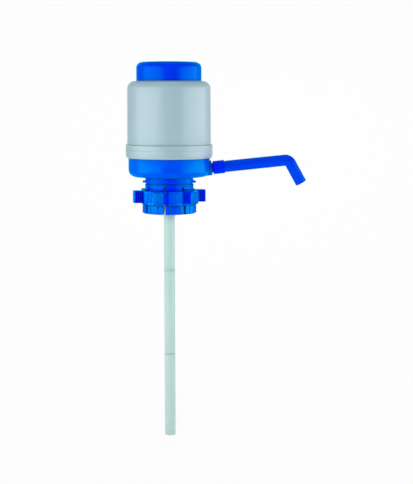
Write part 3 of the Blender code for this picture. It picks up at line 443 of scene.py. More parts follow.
def plastic(name, colour, deep, rough, grain, spec, lines=0.0, tint=None, edge=None, scatter=0.0,
            sheen=None, hollow_shade=None, skin=None, hollow=(0.45, 0.85, 0.0035), ior=1.5):
    """Injection-moulded plastic with flow marks, smudges and a fine grain.

    Flow marks mix colour and deep. edge is a lighter tone for convex edges, partly rubbed wear and partly
    painted edge highlight, and hollow_shade is the painted shade of hollows. hollow is the open share at
    which that painted shade is darkest, the share at which it ends, and how far it looks.
    sheen is a weight and a tint, and skin is the tint of a dull coat.
    """
    mat, tree, shader = node_tree(name)
    coords = add(tree, "ShaderNodeTexCoord").outputs["Object"]
    slow = noise(tree, stretch(tree, coords, (1, 1, 0.45)), scale=38, detail=4, rough=0.55, distortion=0.6)
    cloud = noise(tree, coords, scale=210, detail=5, rough=0.6)
    tone = mix(tree, span(tree, slow, 0.0, 1.0), colour, deep)
    tone = mix(tree, span(tree, cloud, 0.0, 0.22), tone, tuple(c * 0.8 for c in colour))
    # Convex edges get a lighter tone in patches: partly rubbed wear, partly painted edge highlight.
    if edge is not None:
        tone = rubbed_and_highlit(tree, coords, tone, edge)
    # Hollows and the gaps under neighbouring parts get a darker tone: painted shade, from an occlusion node.
    if hollow_shade is not None:
        tone = shadowed(tree, tone, hollow_shade, hollow)
    tree.links.new(tone, shader.inputs["Base Color"])
    smudge = noise(tree, stretch(tree, coords, (1, 1, 0.6)), scale=95, detail=6, rough=0.65, distortion=1.2)
    tree.links.new(span(tree, smudge, rough - 0.07, rough + 0.09), shader.inputs["Roughness"])
    tree.links.new(relief(tree, coords, grain, lines), shader.inputs["Normal"])
    set_inputs(shader, Specular_IOR_Level=spec, IOR=ior)
    if tint is not None:
        set_inputs(shader, Specular_Tint=(*tint, 1.0))
    if scatter:
        set_inputs(shader, Subsurface_Weight=scatter, Subsurface_Radius=(1.0, 1.0, 1.0),
                   Subsurface_Scale=0.0015)
    if sheen is not None:
        set_inputs(shader, Sheen_Weight=sheen[0], Sheen_Roughness=0.6, Sheen_Tint=(*sheen[1:], 1.0))
    if skin is not None:
        set_inputs(shader, Coat_Weight=1.0, Coat_Roughness=0.6, Coat_IOR=1.0, Coat_Tint=(*skin, 1.0))
    return mat


# The edge tones below are lighter than each part's own colour: partly wear, partly painted edge highlight.
# The dark tones given for hollows are painted shade.
BLUE = plastic(
    "blue_moulded", (0.0, 0.026, 0.89), (0.0, 0.018, 0.84), rough=0.32, grain=0.22, spec=0.90, lines=0.30,
    tint=(0.0, 1.0, 0.4), edge=(0.0, 0.09, 1.0), sheen=(0.20, 0.0, 0.80, 0.5), hollow_shade=(0.0, 0.0, 0.12),
    skin=(0.12, 1.0, 1.0), hollow=(0.55, 0.97, 0.0050))
# A darker copy of the blue for the cap: painted shade over the whole cap.
BLUE_CAP_SHADE = plastic(
    "blue_cap_painted_shade", (0.0, 0.015, 0.84), (0.0, 0.011, 0.78), rough=0.32, grain=0.22, spec=0.60, lines=0.30,
    tint=(0.0, 0.9, 0.4), edge=(0.0, 0.09, 1.0), sheen=(0.15, 0.0, 0.80, 0.5), hollow_shade=(0.0, 0.002, 0.30),
    skin=(0.12, 1.0, 1.0))
# A darker copy of the blue: painted shade on the neck under the bowl and on the collet's top under the ring.
BLUE_NECK_SHADE = plastic(
    "blue_neck_painted_shade", (0.0, 0.004, 0.92), (0.0, 0.003, 0.87), rough=0.34, grain=0.22, spec=0.60, lines=0.20,
    tint=(0.0, 1.0, 0.4), edge=(0.0, 0.07, 1.0), sheen=(0.07, 0.0, 0.70, 0.6), hollow_shade=(0.0, 0.0, 0.14),
    skin=(0.06, 1.0, 1.0), hollow=(0.55, 0.92, 0.0028))
BLUE_RING = plastic(
    "blue_ring", (0.0, 0.025, 0.96), (0.0, 0.018, 0.92), rough=0.28, grain=0.08, spec=1.0,
    tint=(0.0, 1.0, 0.9), sheen=(0.06, 0.0, 0.6, 0.8), hollow_shade=(0.0, 0.002, 0.34),
    skin=(0.12, 1.0, 1.0), hollow=(0.40, 0.90, 0.0018), ior=1.70)
# A darker copy of the ring's blue: painted shade on the sides of the ears.
BLUE_FLANK_SHADE = plastic(
    "blue_flank_painted_shade", (0.0, 0.004, 0.96), (0.0, 0.003, 0.90), rough=0.40, grain=0.08, spec=0.35,
    tint=(0.0, 0.8, 0.9), hollow_shade=(0.0, 0.0, 0.16), skin=(0.06, 1.0, 1.0), hollow=(0.40, 0.90, 0.0018))
BLUE_SPOUT = plastic(
    "blue_spout", (0.0, 0.037, 0.84), (0.0, 0.029, 0.77), rough=0.34, grain=0.20, spec=0.45,
    tint=(0.0, 0.9, 0.50), edge=(0.0, 0.08, 0.96), skin=(0.10, 1.0, 1.0))
# A deeper copy of the spout's blue for the collar: painted shade.
BLUE_COLLAR_SHADE = plastic(
    "blue_collar_painted_shade", (0.001, 0.008, 0.98), (0.001, 0.005, 0.93), rough=0.36, grain=0.30, spec=0.45,
    tint=(0.0, 0.6, 0.6), edge=(0.01, 0.08, 0.97), skin=(0.10, 1.0, 1.0))
GREY = plastic(
    "grey_moulded", (0.326, 0.472, 0.530), (0.306, 0.450, 0.510), rough=0.38, grain=0.35, spec=0.85,
    lines=0.12, edge=(0.60, 0.74, 0.78))
MILKY = plastic(
    "milky_sleeve", (0.48, 0.69, 0.64), (0.44, 0.64, 0.59), rough=0.42, grain=0.2, spec=0.35, scatter=0.25)
WHITE = plastic(
    "natural_white", (0.74, 0.75, 0.74), (0.70, 0.71, 0.70), rough=0.45, grain=0.3, spec=0.5, scatter=0.2)
BELLOWS = plastic(
    "bellows_wax", (0.72, 0.73, 0.72), (0.66, 0.67, 0.67), rough=0.5, grain=0.3, spec=0.4, scatter=0.3)
SILICONE = plastic(
    "silicone_pale", (0.60, 0.62, 0.62), (0.55, 0.57, 0.58), rough=0.55, grain=0.4, spec=0.35, scatter=0.3)
RUBBER = plastic(
    "gasket_dark", (0.030, 0.035, 0.050), (0.024, 0.028, 0.040), rough=0.6, grain=0.5, spec=0.35)


def tube_plastic():
    """Milky polythene: light passes, the wall scatters it, and draw lines run along the tube."""
    mat, tree, shader = node_tree("milky_tube")
    coords = add(tree, "ShaderNodeTexCoord").outputs["Object"]
    lines = noise(tree, stretch(tree, coords, (1, 1, 0.02)), scale=1500, detail=3, rough=0.5)
    cloud = noise(tree, stretch(tree, coords, (1, 1, 0.3)), scale=120, detail=4, rough=0.6)
    tone = mix(tree, span(tree, cloud, 0.0, 1.0), (0.53, 0.76, 0.70), (0.61, 0.82, 0.76))
    tone = mix(tree, span(tree, lines, 0.0, 0.45), tone, (0.44, 0.62, 0.59))
    tree.links.new(tone, shader.inputs["Base Color"])
    tree.links.new(span(tree, cloud, 0.30, 0.44), shader.inputs["Roughness"])
    tree.links.new(bump(tree, lines, strength=0.3, distance=0.0001), shader.inputs["Normal"])
    set_inputs(shader, Transmission_Weight=0.15, IOR=1.40, Specular_IOR_Level=0.35)
    set_inputs(shader, Subsurface_Weight=0.25, Subsurface_Radius=(0.8, 1.0, 1.0), Subsurface_Scale=0.002)
    return mat


def steel():
    mat, tree, shader = node_tree("screw_steel")
    coords = add(tree, "ShaderNodeTexCoord").outputs["Object"]
    fine = noise(tree, coords, scale=1800, detail=4, rough=0.6)
    tone = mix(tree, span(tree, fine, 0.0, 1.0), (0.50, 0.50, 0.52), (0.62, 0.62, 0.63))
    tree.links.new(tone, shader.inputs["Base Color"])
    tree.links.new(span(tree, fine, 0.22, 0.42), shader.inputs["Roughness"])
    tree.links.new(bump(tree, fine, strength=0.2, distance=0.00005), shader.inputs["Normal"])
    set_inputs(shader, Metallic=1.0)
    return mat


TUBE = tube_plastic()
STEEL = steel()


def place(obj, material, body, slot, node):
    """Dresses a piece, puts it on its body and lets it stand for its CAD node."""
    obj.data.materials.clear()
    obj.data.materials.append(material)
    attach(obj, body)
    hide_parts(node)


def shade(obj, material, chosen):
    """Gives the faces that chosen(centre in millimetres, normal) picks a material of their own: a darker copy
    of the piece's blue that paints shade on them.
    """
    obj.data.materials.append(material)
    for face in obj.data.polygons:
        if chosen(face.center / MM, face.normal):
            face.material_index = len(obj.data.materials) - 1


# Housing and cap

def band_line(top, depth, step_in=0.0):
    """A fine groove round the skirt's band. The band may go on below it a little further in."""
    floor = BAND_R - depth
    return [(BAND_R, top, 0), (floor, top - 0.2, 0), (floor, top - 0.5, 0), (BAND_R - step_in, top - 0.7, 0)]


def make_housing():
    shoulder, shoulder_bore, wall_bore = 9.7, 7.0, 51.8
    mouth, lip, lip_bottom = 42.4, 44.2, 127.4
    upper_line, lower_line, hem_top, hem_step = 48.15, 42.15, 39.6, 39.3
    seat_top = RIM_TOP + FIT_GAP
    corners = [
        (mouth, HOUSING_TOP, 0.5), (HOUSING_R, HOUSING_TOP, shoulder),
        (HOUSING_R + 0.5, SKIRT_TOP + 0.35, 0.15), (SEAT_R, SKIRT_TOP + 0.1, 0), (SEAT_R, SKIRT_TOP - 0.1, 0),
        (BAND_R, SKIRT_TOP - 0.1, 0.7)]
    corners += band_line(upper_line, depth=0.25)
    corners += band_line(lower_line, depth=0.2, step_in=0.05)
    corners += [
        (BAND_R - 0.2, hem_top, 0), (BAND_R - 1.0, hem_step, 0.25), (BAND_R - 1.1, SKIRT_BOTTOM, 0.6),
        (SEAT_R, SKIRT_BOTTOM, 0), (SEAT_R, seat_top, 0), (wall_bore, seat_top, 0.3),
        (wall_bore, HOUSING_ROOF, shoulder_bore), (lip, HOUSING_ROOF, 0), (lip, lip_bottom, 0.4),
        (mouth, lip_bottom, 0.4)]
    place(turned("housing_shell", corners, SHELL_STEPS), GREY, "pump_body", "grey_plastic", "housing")


def cap_corners():
    bottom, bore, bore_fillet, top_fillet = 122.1, 39.7, 5.8, 7.6
    flange_r, flange_top, flange_bottom = 45.9, 127.1, 125.1
    guide_r, guide_bore, guide_bottom, flat_r = 33.3, 31.7, 145.3, 20.0
    return [
        (0, CAP_TOP, 0), (flat_r, CAP_TOP - 0.05, 0), (CAP_R, CAP_TOP - 0.45, top_fillet),
        (CAP_R, flange_top, 0), (flange_r, flange_top, 0.3), (flange_r, flange_bottom, 0.3),
        (CAP_R, flange_bottom, 0), (CAP_R, bottom, 0.4), (bore, bottom, 0.4),
        (bore, CAP_ROOF, bore_fillet), (guide_r, CAP_ROOF, 0.4), (guide_r, guide_bottom, 0.3),
        (guide_bore, guide_bottom, 0.3), (guide_bore, CAP_ROOF, 0.4), (0, CAP_ROOF, 0)]


def make_cap():
    rib_count, half_width, inner, outer, bottom, top = 6, 0.8, 8.0, 32.5, 151.1, 158.6
    cap = turned("press_cap_shell", cap_corners(), SHELL_STEPS)
    ribs = bmesh.new()
    for a in around(rib_count):
        block(ribs, (inner, -half_width, bottom), (outer, half_width, top), turn_z(a))
    boolean(cap, ribs, "UNION")
    place(cap, BLUE_CAP_SHADE, "press", "blue_plastic", "press_cap")


# Base

def base_corners():
    bowl_fillet, bowl_bore, bowl_bore_fillet, neck_bore = 8.8, 49.1, 5.2, 29.4
    rim_bottom, wall_top, wall_bottom, bore_bottom = 37.6, 36.4, 13.4, 15.4
    groove_r, groove_top, groove_bottom = NECK_R - 1.2, 4.7, 3.3
    return [
        (RIM_BORE, RIM_TOP, 0.3), (RIM_R, RIM_TOP, 0.6), (RIM_R, rim_bottom, 0), (BOWL_R, wall_top, 0),
        (BOWL_R, wall_bottom, bowl_fillet), (NECK_R, BASE_BOTTOM, 1.0),
        (NECK_R, groove_top, 0.1), (groove_r, groove_top - 0.1, 0), (groove_r, groove_bottom + 0.1, 0),
        (NECK_R, groove_bottom, 0), (NECK_R, SEAM, 0.1), (neck_bore, SEAM, 0.25),
        (neck_bore, BASE_BOTTOM, 0.3), (PASSAGE_R, BASE_BOTTOM, 0.3), (PASSAGE_R, FLOOR_TOP, 0.3),
        (NECK_R, FLOOR_TOP, 0), (bowl_bore, bore_bottom, bowl_bore_fillet), (bowl_bore, LEDGE, 0.2),
        (RIM_BORE, LEDGE, 0.2)]


def spout_boss():
    root, bulge, root_r, bulge_r, face_r = -25, -17, 8.8, 10.1, 9.5
    bm = bmesh.new()
    corners = [(0, root, 0), (root_r, root, 0), (bulge_r, bulge, 0), (face_r, 0, 0.6), (0, 0, 0)]
    spin(bm, rounded(corners), BOSS_STEPS, SWIVEL_PLACE)
    return bm


def screw_posts():
    post_r, post_bottom = 3.4, FLOOR_TOP + 0.4
    bm = bmesh.new()
    screw_rods(bm, post_r, post_bottom, LEDGE, POST_STEPS)
    return bm


def base_cuts():
    """The spigot's socket, the screws' pilot holes, the air holes and the windows of the lugs."""
    socket_r, socket_floor, mouth_r = SPIGOT_R + FIT_GAP, SPIGOT_END - FIT_GAP, 6.8
    way_r, way_end, pilot_bottom, past = 4.3, -27, 24.0, 2
    bm = bmesh.new()
    socket = [
        (0, way_end), (way_r, way_end), (way_r, socket_floor), (socket_r, socket_floor),
        (socket_r, -0.5), (mouth_r, 0.02), (mouth_r, past), (0, past)]
    spin(bm, socket, BOSS_STEPS, SWIVEL_PLACE)
    screw_rods(bm, SCREW_HOLE_R, pilot_bottom, LEDGE + past, HOLE_STEPS)
    air_holes(bm, BASE_BOTTOM - past, FLOOR_TOP + past)
    lug_blocks(bm, inner=27.4, outer=33.3, half_width=3.8, half_height=1.6)
    return bm


def make_base():
    base = turned("base_bowl", base_corners(), BASE_STEPS)
    boolean(base, spout_boss(), "UNION")
    boolean(base, screw_posts(), "UNION")
    boolean(base, base_cuts(), "DIFFERENCE")
    place(base, BLUE, "pump_body", "blue_plastic", "base")
    # The neck gets the darker copy of the blue: painted shade under the bowl.
    shade(base, BLUE_NECK_SHADE, lambda centre, normal: 0 < centre.z < BASE_BOTTOM - 0.2)


# Collet and ring

def cam(angle):
    """How far the cam stands out at an angle: full at a slot, then less until just before the next."""
    pitch = 2 * math.pi / FINGER_COUNT
    lead = 0.1
    along = ((angle - SLOT_PHASE + lead) % pitch - lead) / pitch
    return CAM_RISE * (1 - max(along, 0))


def push_out(vert):
    """Moves a vertex out by the cam."""
    r = vert.co.xy.length
    vert.co.xy *= (r + cam(math.atan2(vert.co.y, vert.co.x))) / r


def collet_body():
    spigot_r, spigot_bore, spigot_top, spigot_floor = 29.1, 26.6, 10.0, 5.5
    bead_r, bead_top, shoulder_r, roof, chamfer = NECK_R + 0.4, SEAM - 0.02, 33.2, 3.3, 0.8
    cone_top, cone_bottom, grip_top = -2.4, -3.45, -25.0
    groove_top, groove_bottom = RING_TOP + FIT_GAP, RING_BOTTOM - FIT_GAP
    corners = [
        (spigot_bore, spigot_top, 0.2), (spigot_r, spigot_top, 0.3), (spigot_r, bead_top, 0),
        (bead_r, bead_top, 0.3), (bead_r, SEAM - 1.0, 0.3), (NECK_R, SEAM - 1.3, 0),
        (NECK_R, cone_top, 0.3), (shoulder_r, cone_bottom, 0.35), (shoulder_r, groove_top, 0.2),
        (NECK_R, groove_top, 0), (NECK_R, groove_bottom, 0), (COLLET_R - 0.3, groove_bottom, 0.5),
        (COLLET_R, grip_top, 0.6), (COLLET_R, COLLET_BOTTOM, 1.5),
        (COLLET_BORE + chamfer, COLLET_BOTTOM, 0.3), (COLLET_BORE, COLLET_BOTTOM + chamfer, 0.3),
        (COLLET_BORE, roof, 0.4), (PASSAGE_R, roof, 0.2), (PASSAGE_R, spigot_floor, 0.2),
        (spigot_bore, spigot_floor, 0.3)]
    bm = bmesh.new()
    for v in spin(bm, rounded(corners), COLLET_STEPS, turn_z(SLOT_PHASE)):
        in_groove = groove_bottom - 0.1 < v.co.z < groove_top + 0.1
        if in_groove and abs(v.co.xy.length - NECK_R) < 0.1:
            push_out(v)
    return bm


def slot_outline():
    """A slot with a round upper end, seen from outside."""
    half, bottom, spring, arc_steps = 1.6, -36.0, -0.6, 10
    arc = [math.pi * k / arc_steps for k in range(1, arc_steps)]
    outline = [(-half, bottom), (half, bottom), (half, spring)]
    outline += [(half * math.cos(t), spring + half * math.sin(t)) for t in arc]
    outline.append((-half, spring))
    return outline


def cut_slot(cuts, angle):
    inner, depth = 24.5, 14
    facing_out = Matrix(((0, 0, 1, 0), (1, 0, 0, 0), (0, 1, 0, 0), (0, 0, 0, 1)))
    bm = bmesh.new()
    prism(bm, slot_outline(), 0, depth)
    lie = turn_z(angle) @ Matrix.Translation((inner, 0, 0)) @ facing_out
    bmesh.ops.transform(bm, matrix=lie, verts=bm.verts)
    part = bpy.data.meshes.new("slot")
    bm.to_mesh(part)
    bm.free()
    cuts.from_mesh(part)
    bpy.data.meshes.remove(part)


def collet_cuts():
    """The slots between the fingers, two shallow grooves down each finger, and the air holes."""
    groove_r, groove_bottom, groove_top = 0.9, -36, RING_BOTTOM + 1
    bm = bmesh.new()
    for a in around(FINGER_COUNT, SLOT_PHASE):
        cut_slot(bm, a)
        for aside in (-0.16, 0.16):
            finger = turn_z(a + math.pi / FINGER_COUNT + aside)
            groove = finger @ Matrix.Translation((COLLET_R + 0.2, 0, 0))
            rod(bm, groove_r, groove_bottom, groove_top, GROOVE_STEPS, groove)
    air_holes(bm, low=1.3, high=7.5)
    return bm


def make_collet():
    collet = to_object("collet_fingers", collet_body())
    lugs = bmesh.new()
    lug_blocks(lugs, inner=27.8, outer=34.4, half_width=3.5, half_height=1.3, edge=0.3)
    boolean(collet, lugs, "UNION")
    boolean(collet, collet_cuts(), "DIFFERENCE")
    place(collet, BLUE, "pump_body", "blue_plastic", "collet")
    # The collet's top between the ring and the neck gets the darker copy of the blue: painted shade.
    shade(collet, BLUE_NECK_SHADE, lambda centre, normal: RING_TOP - 6 < centre.z < SEAM - 1.2)


def grip(distance, pitch, depth):
    """Depth of a narrow groove between broad ribs, at a distance along a face."""
    return depth * (0.5 - 0.5 * math.cos(2 * math.pi * distance / pitch)) ** 3


def ear_side():
    """One side of an ear along X, from its root outwards, with its grip."""
    steps, ribs, depth = 48, 4, 1.1
    root = math.sqrt(RING_R ** 2 - EAR_HALF ** 2)
    length = EAR_TIP - EAR_CORNER - 0.9 - root
    side = []
    for k in range(steps + 1):
        along = length * k / steps
        width = EAR_HALF + (EAR_END - EAR_HALF) * k / steps
        side.append((root + along, width - grip(along, length / ribs, depth)))
    return side


def ear_outline():
    """One ear along X: out along one side, over the tip and back along the other side."""
    corner_steps, tip_steps, tip_ribs, tip_depth = 5, 60, 6, 0.95
    reach = EAR_END - EAR_CORNER
    corner_x = math.sqrt(EAR_TIP ** 2 - reach ** 2) - EAR_CORNER
    side = ear_side()
    for k in range(1, corner_steps):
        t = math.pi / 2 * (1 - k / corner_steps)
        side.append((corner_x + EAR_CORNER * math.cos(t), reach + EAR_CORNER * math.sin(t)))
    tip = []
    for k in range(tip_steps + 1):
        y = reach * (2 * k / tip_steps - 1)
        x = math.sqrt(EAR_TIP ** 2 - y ** 2) - grip(y + reach, 2 * reach / tip_ribs, tip_depth)
        tip.append((x, y))
    return [(x, -y) for x, y in side] + tip + side[::-1]


def ring_outline():
    """The ears, and between them the ring's own ribs."""
    steps, ribs, depth, ribbed_share = 70, 7, 0.85, 0.86
    ear_angle = 2 * math.asin(EAR_HALF / RING_R)
    ribbed_angle = (2 * math.pi / EAR_COUNT - ear_angle) * ribbed_share
    arc = ribbed_angle * RING_R
    ear = ear_outline()
    points = []
    for a in around(EAR_COUNT, EAR_PHASE):
        turn = Matrix.Rotation(a, 2)
        points += [tuple(turn @ Vector(p)) for p in ear]
        for k in range(steps + 1):
            here = a + math.pi / EAR_COUNT + ribbed_angle * (k / steps - 0.5)
            points.append(tuple(polar(RING_R - grip(arc * k / steps, arc / ribs, depth), here).xy))
    return points


def ring_foot():
    foot_r, foot_top = RING_R - 0.25, EAR_BOTTOM + 0.4
    bm = bmesh.new()
    corners = [(0, RING_BOTTOM, 0), (foot_r, RING_BOTTOM, 0.5), (foot_r, foot_top, 0), (0, foot_top, 0)]
    spin(bm, rounded(corners), BASE_STEPS)
    return bm


def ring_bore():
    """The bore with its ramps, which follow the cam on the collet."""
    bore_r, foot_mouth_r, top_mouth_r = 32.4, 34.0, 33.6
    outline = [
        (0, RING_BOTTOM - 2), (foot_mouth_r, RING_BOTTOM - 0.2), (bore_r, RING_BOTTOM + 0.8),
        (bore_r, RING_TOP - 0.7), (top_mouth_r, RING_TOP + 0.2), (0, RING_TOP + 2)]
    bm = bmesh.new()
    for v in spin(bm, outline, SHELL_STEPS, turn_z(SLOT_PHASE)):
        if v.co.xy.length > 10:
            push_out(v)
    return bm


def on_flank(centre, normal):
    """True on the sides of the ring's ears."""
    sector = 2 * math.pi / EAR_COUNT
    bearing = math.atan2(centre.y, centre.x)
    off_axis = (bearing - EAR_PHASE + sector / 2) % sector - sector / 2
    x = centre.xy.length * math.cos(off_axis)
    y = abs(centre.xy.length * math.sin(off_axis))
    width = EAR_HALF + (EAR_END - EAR_HALF) * (x - RING_R) / (EAR_TIP - RING_R)
    upright = abs(normal.z) < 0.6
    at_side = x > RING_R - 1.5 and y > width - 1.4
    sideways = abs(normal.xy.dot(polar(1, bearing - off_axis + math.pi / 2).xy)) > 0.5
    return upright and at_side and (sideways or x < EAR_TIP - 2)


def make_ring():
    bm = bmesh.new()
    prism(bm, ring_outline(), EAR_BOTTOM, RING_TOP, edge=0.22)
    ring = to_object("cam_ring", bm)
    boolean(ring, ring_foot(), "UNION")
    boolean(ring, ring_bore(), "DIFFERENCE")
    place(ring, BLUE_RING, "ring", "blue_plastic", "lock_ring")
    # The sides of the ears get the darker copy of the blue: painted shade.
    shade(ring, BLUE_FLANK_SHADE, on_flank)


# Spout

def make_adapter():
    root_r, line_r, mouth, mouth_bore, groove_r = 6.4, COLLAR_R - 0.25, 16.4, 6.5, 4.9
    root, collar_start, half_groove, floor = 0.3, 1.4, 0.9, PIPE_ROOT - FIT_GAP
    corners = [(SPIGOT_BORE, SPIGOT_END, 0.3), (SPIGOT_R, SPIGOT_END, 0.6)]
    for o_ring in (-11.2, -5.76):
        low, high = o_ring - half_groove, o_ring + half_groove
        corners += [(SPIGOT_R, low, 0), (groove_r, low, 0.1), (groove_r, high, 0.1), (SPIGOT_R, high, 0)]
    corners += [
        (SPIGOT_R, root, 0), (root_r, root, 0.1), (root_r, collar_start, 0.2), (COLLAR_R, collar_start, 1.1),
        (COLLAR_R, 4.6, 0.1), (line_r, 4.75, 0), (line_r, 5.05, 0), (COLLAR_R, 5.2, 0.1),
        (COLLAR_R, mouth, 0.5), (mouth_bore, mouth, 0.25), (mouth_bore, floor, 0.2),
        (SPIGOT_BORE, floor, 0.2)]
    bm = bmesh.new()
    spin(bm, rounded(corners), BOSS_STEPS, SWIVEL_PLACE)
    place(to_object("spout_collar", bm), BLUE_COLLAR_SHADE, "spout", "blue_plastic", "spout_adapter")


def spout_stations(first):
    """(centre, turn) along the spout's line: straight, round the bend and down to the tip."""
    turn, reach, drop, bend, bend_steps, drop_steps = math.radians(67.0), 99.8, 34.3, 7.7, 14, 5
    start = reach - bend * math.tan(turn / 2)
    stations = []
    for k in range(STRAIGHT_STEPS):
        stations.append((Vector((first + (start - first) * k / STRAIGHT_STEPS, 0, 0)), 0.0))
    for k in range(bend_steps + 1):
        a = turn * k / bend_steps
        stations.append((Vector((start + bend * math.sin(a), 0, -bend * (1 - math.cos(a)))), a))
    along = Vector((math.cos(turn), 0, -math.sin(turn)))
    end = stations[-1][0]
    tip = Vector((reach, 0, 0)) + along * drop
    for k in range(1, drop_steps + 1):
        stations.append((end + (tip - end) * k / drop_steps, turn))
    return stations


def pipe_sections():
    """(centre, turn, radius) from the root out along the skin, round the tip and back along the bore."""
    plug_r, root_r, tip_r, bore_r, chamfer, lip, lip_steps = 6.2, 7.4, 7.3, 5.0, 0.4, 0.9, 4
    sections = [(Vector((x, 0, 0)), 0, plug_r) for x in (PIPE_ROOT, PIPE_OUT - 0.05)]
    outer = spout_stations(PIPE_OUT)
    straight = outer[STRAIGHT_STEPS][0].x - PIPE_OUT
    for centre, angle in outer[:-1]:
        share = min((centre.x - PIPE_OUT) / straight, 1.0)
        sections.append((centre, angle, root_r - (root_r - tip_r) * share))
    tip, angle = outer[-1]
    along = Vector((math.cos(angle), 0, -math.sin(angle)))
    for k in range(lip_steps + 1):
        t = math.pi / 2 * k / lip_steps
        sections.append((tip - along * lip * (1 - math.sin(t)), angle, tip_r - lip * (1 - math.cos(t))))
    sections.append((tip, angle, bore_r + chamfer))
    sections.append((tip - along * chamfer, angle, bore_r))
    for centre, angle in reversed(spout_stations(PIPE_ROOT)[:-1]):
        sections.append((centre, angle, bore_r))
    return sections


def make_spout():
    bm = bmesh.new()
    rings = []
    for centre, angle, radius in pipe_sections():
        lie = SPOUT_LIE @ Matrix.Translation(centre) @ Matrix.Rotation(angle, 4, "Y") @ AXIS_X
        rings.append([bm.verts.new(lie @ polar(radius, a)) for a in around(PIPE_STEPS)])
    for first, second in zip(rings, rings[1:] + rings[:1]):
        for k in range(PIPE_STEPS):
            j = (k + 1) % PIPE_STEPS
            bm.faces.new((first[k], second[k], second[j], first[j]))
    place(to_object("spout_pipe", bm), BLUE_SPOUT, "spout", "blue_plastic", "spout_tube")


# Tube and seals

def make_tube(name):
    bore = 5.8
    low, high = heights(f"dip_tube_{name}")
    corners = [(bore, high, 0.2), (TUBE_R, high, 0.25), (TUBE_R, low, 0.25), (bore, low, 0.2)]
    tube = turned(f"drop_tube_{name}", corners, PIPE_STEPS)
    place(tube, TUBE, "pump_body", "tube_plastic", f"dip_tube_{name}")


def make_sleeve(name):
    """A coupler inside two lengths of tube, with a flange between them."""
    sleeve_r, bore, half_flange = 5.5, 4.3, 0.6
    low, high = heights(f"tube_coupler_{name}")
    middle = (low + high) / 2
    top, bottom = middle + half_flange, middle - half_flange
    corners = [
        (bore, high, 0.1), (sleeve_r, high, 0.5), (sleeve_r, top, 0), (TUBE_R, top, 0.2),
        (TUBE_R, bottom, 0.2), (sleeve_r, bottom, 0), (sleeve_r, low, 0.5), (bore, low, 0.1)]
    sleeve = turned(f"tube_sleeve_{name}", corners, SLEEVE_STEPS)
    place(sleeve, MILKY, "pump_body", "white_plastic", f"tube_coupler_{name}")


def make_tubes():
    for name in ("upper", "middle"):
        make_tube(name)
        make_sleeve(name)
    make_tube("lower")


def make_gasket():
    bore, outer, thick = 19.5, 28.0, 3.0
    corners = [(bore, 0, 0.5), (outer, 0, 0.5), (outer, thick, 0.3), (bore, thick, 0.3)]
    gasket = turned("mouth_gasket", corners, SEAL_STEPS)
    place(gasket, RUBBER, "pump_body", "gasket_rubber", "neck_gasket")


def bellows_corners(low, high):
    foot_r, foot_top, window = 48.4, low + 1.6, 12.0
    crest, root, wall, folds = 37.9, 31.4, 1.4, 6
    root_bore, crest_bore = root - wall, crest - wall
    bottom, top = low + 7.7, high - 4.4
    pitch = (top - bottom) / folds
    outer = [(foot_r, low, 0.3), (foot_r, foot_top, 0.3), (root, foot_top, 0.8), (root, bottom, 0.8)]
    inner = [(root_bore, low, 0.3), (root_bore, bottom, 0.5)]
    for k in range(folds):
        crest_z, root_z = bottom + pitch * (k + 0.5), bottom + pitch * (k + 1)
        outer += [(crest, crest_z, 1.7), (root, root_z, 1.3)]
        inner += [(crest_bore, crest_z, 1.0), (root_bore, root_z, 1.9)]
    outer += [(root, high, 0.8), (window, high, 0.3)]
    inner += [(root_bore, high - wall, 0.4), (window, high - wall, 0.3)]
    return outer + inner[::-1]


def make_bellows():
    """Blown bellows with rounded folds, clamped by its foot and closed by its window under the cap."""
    low, high = heights("bellows")
    piece = turned("bellows_skin", bellows_corners(low, high), SEAL_STEPS)
    holes = bmesh.new()
    screw_rods(holes, SCREW_HOLE_R, low - 2, low + 4, HOLE_STEPS)
    boolean(piece, holes, "DIFFERENCE")
    place(piece, BELLOWS, "pump_body", "bellows_plastic", "bellows")
    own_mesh(piece)


def dress_rest():
    """Inner pieces keep their CAD shapes and get a finish."""
    finishes = (
        (WHITE, ("air_plate", "bellows_head", "clamp_ring", "water_elbow", "riser")),
        (SILICONE, ("air_valve", "intake_valve", "riser_o_ring", "spout_o_ring_outer", "spout_o_ring_inner",
                    "collet_seal")),
        (STEEL, ("clamp_screw_1", "clamp_screw_2", "clamp_screw_3", "clamp_screw_4")))
    for material, nodes in finishes:
        for node in nodes:
            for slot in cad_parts[node].material_slots:
                slot.material = material


make_housing()
make_cap()
make_base()
make_collet()
make_ring()
make_adapter()
make_spout()
make_tubes()
make_gasket()
make_bellows()
dress_rest()


# Studio

def looking_rays(tree):
    """One for rays that look at the studio or through clear plastic, half for a gloss, else zero."""
    path = add(tree, "ShaderNodeLightPath")
    level = joined(tree, "MULTIPLY", path.outputs["Is Glossy Ray"], 0.5)
    for other in ("Is Camera Ray", "Is Transmission Ray"):
        level = joined(tree, "MAXIMUM", level, path.outputs[other])
    return level


def paper():
    """Paper that looks white whatever the lamps do, and that isn't in the way from behind or below."""
    albedo, white_share = 0.85, 0.93
    mat, tree, shader = node_tree("studio_paper")
    set_inputs(shader, Base_Color=(albedo, albedo, albedo, 1), Roughness=0.9)
    glow = add(tree, "ShaderNodeEmission", in_Strength=1.0)
    blend = add(tree, "ShaderNodeMixShader")
    tree.links.new(joined(tree, "MULTIPLY", looking_rays(tree), white_share), blend.inputs[0])
    tree.links.new(shader.outputs[0], blend.inputs[1])
    tree.links.new(glow.outputs[0], blend.inputs[2])
    sided = add(tree, "ShaderNodeMixShader")
    tree.links.new(add(tree, "ShaderNodeNewGeometry").outputs["Backfacing"], sided.inputs[0])
    tree.links.new(blend.outputs[0], sided.inputs[1])
    tree.links.new(add(tree, "ShaderNodeBsdfTransparent").outputs[0], sided.inputs[2])
    tree.links.new(sided.outputs[0], tree.nodes["Material Output"].inputs["Surface"])
    return mat


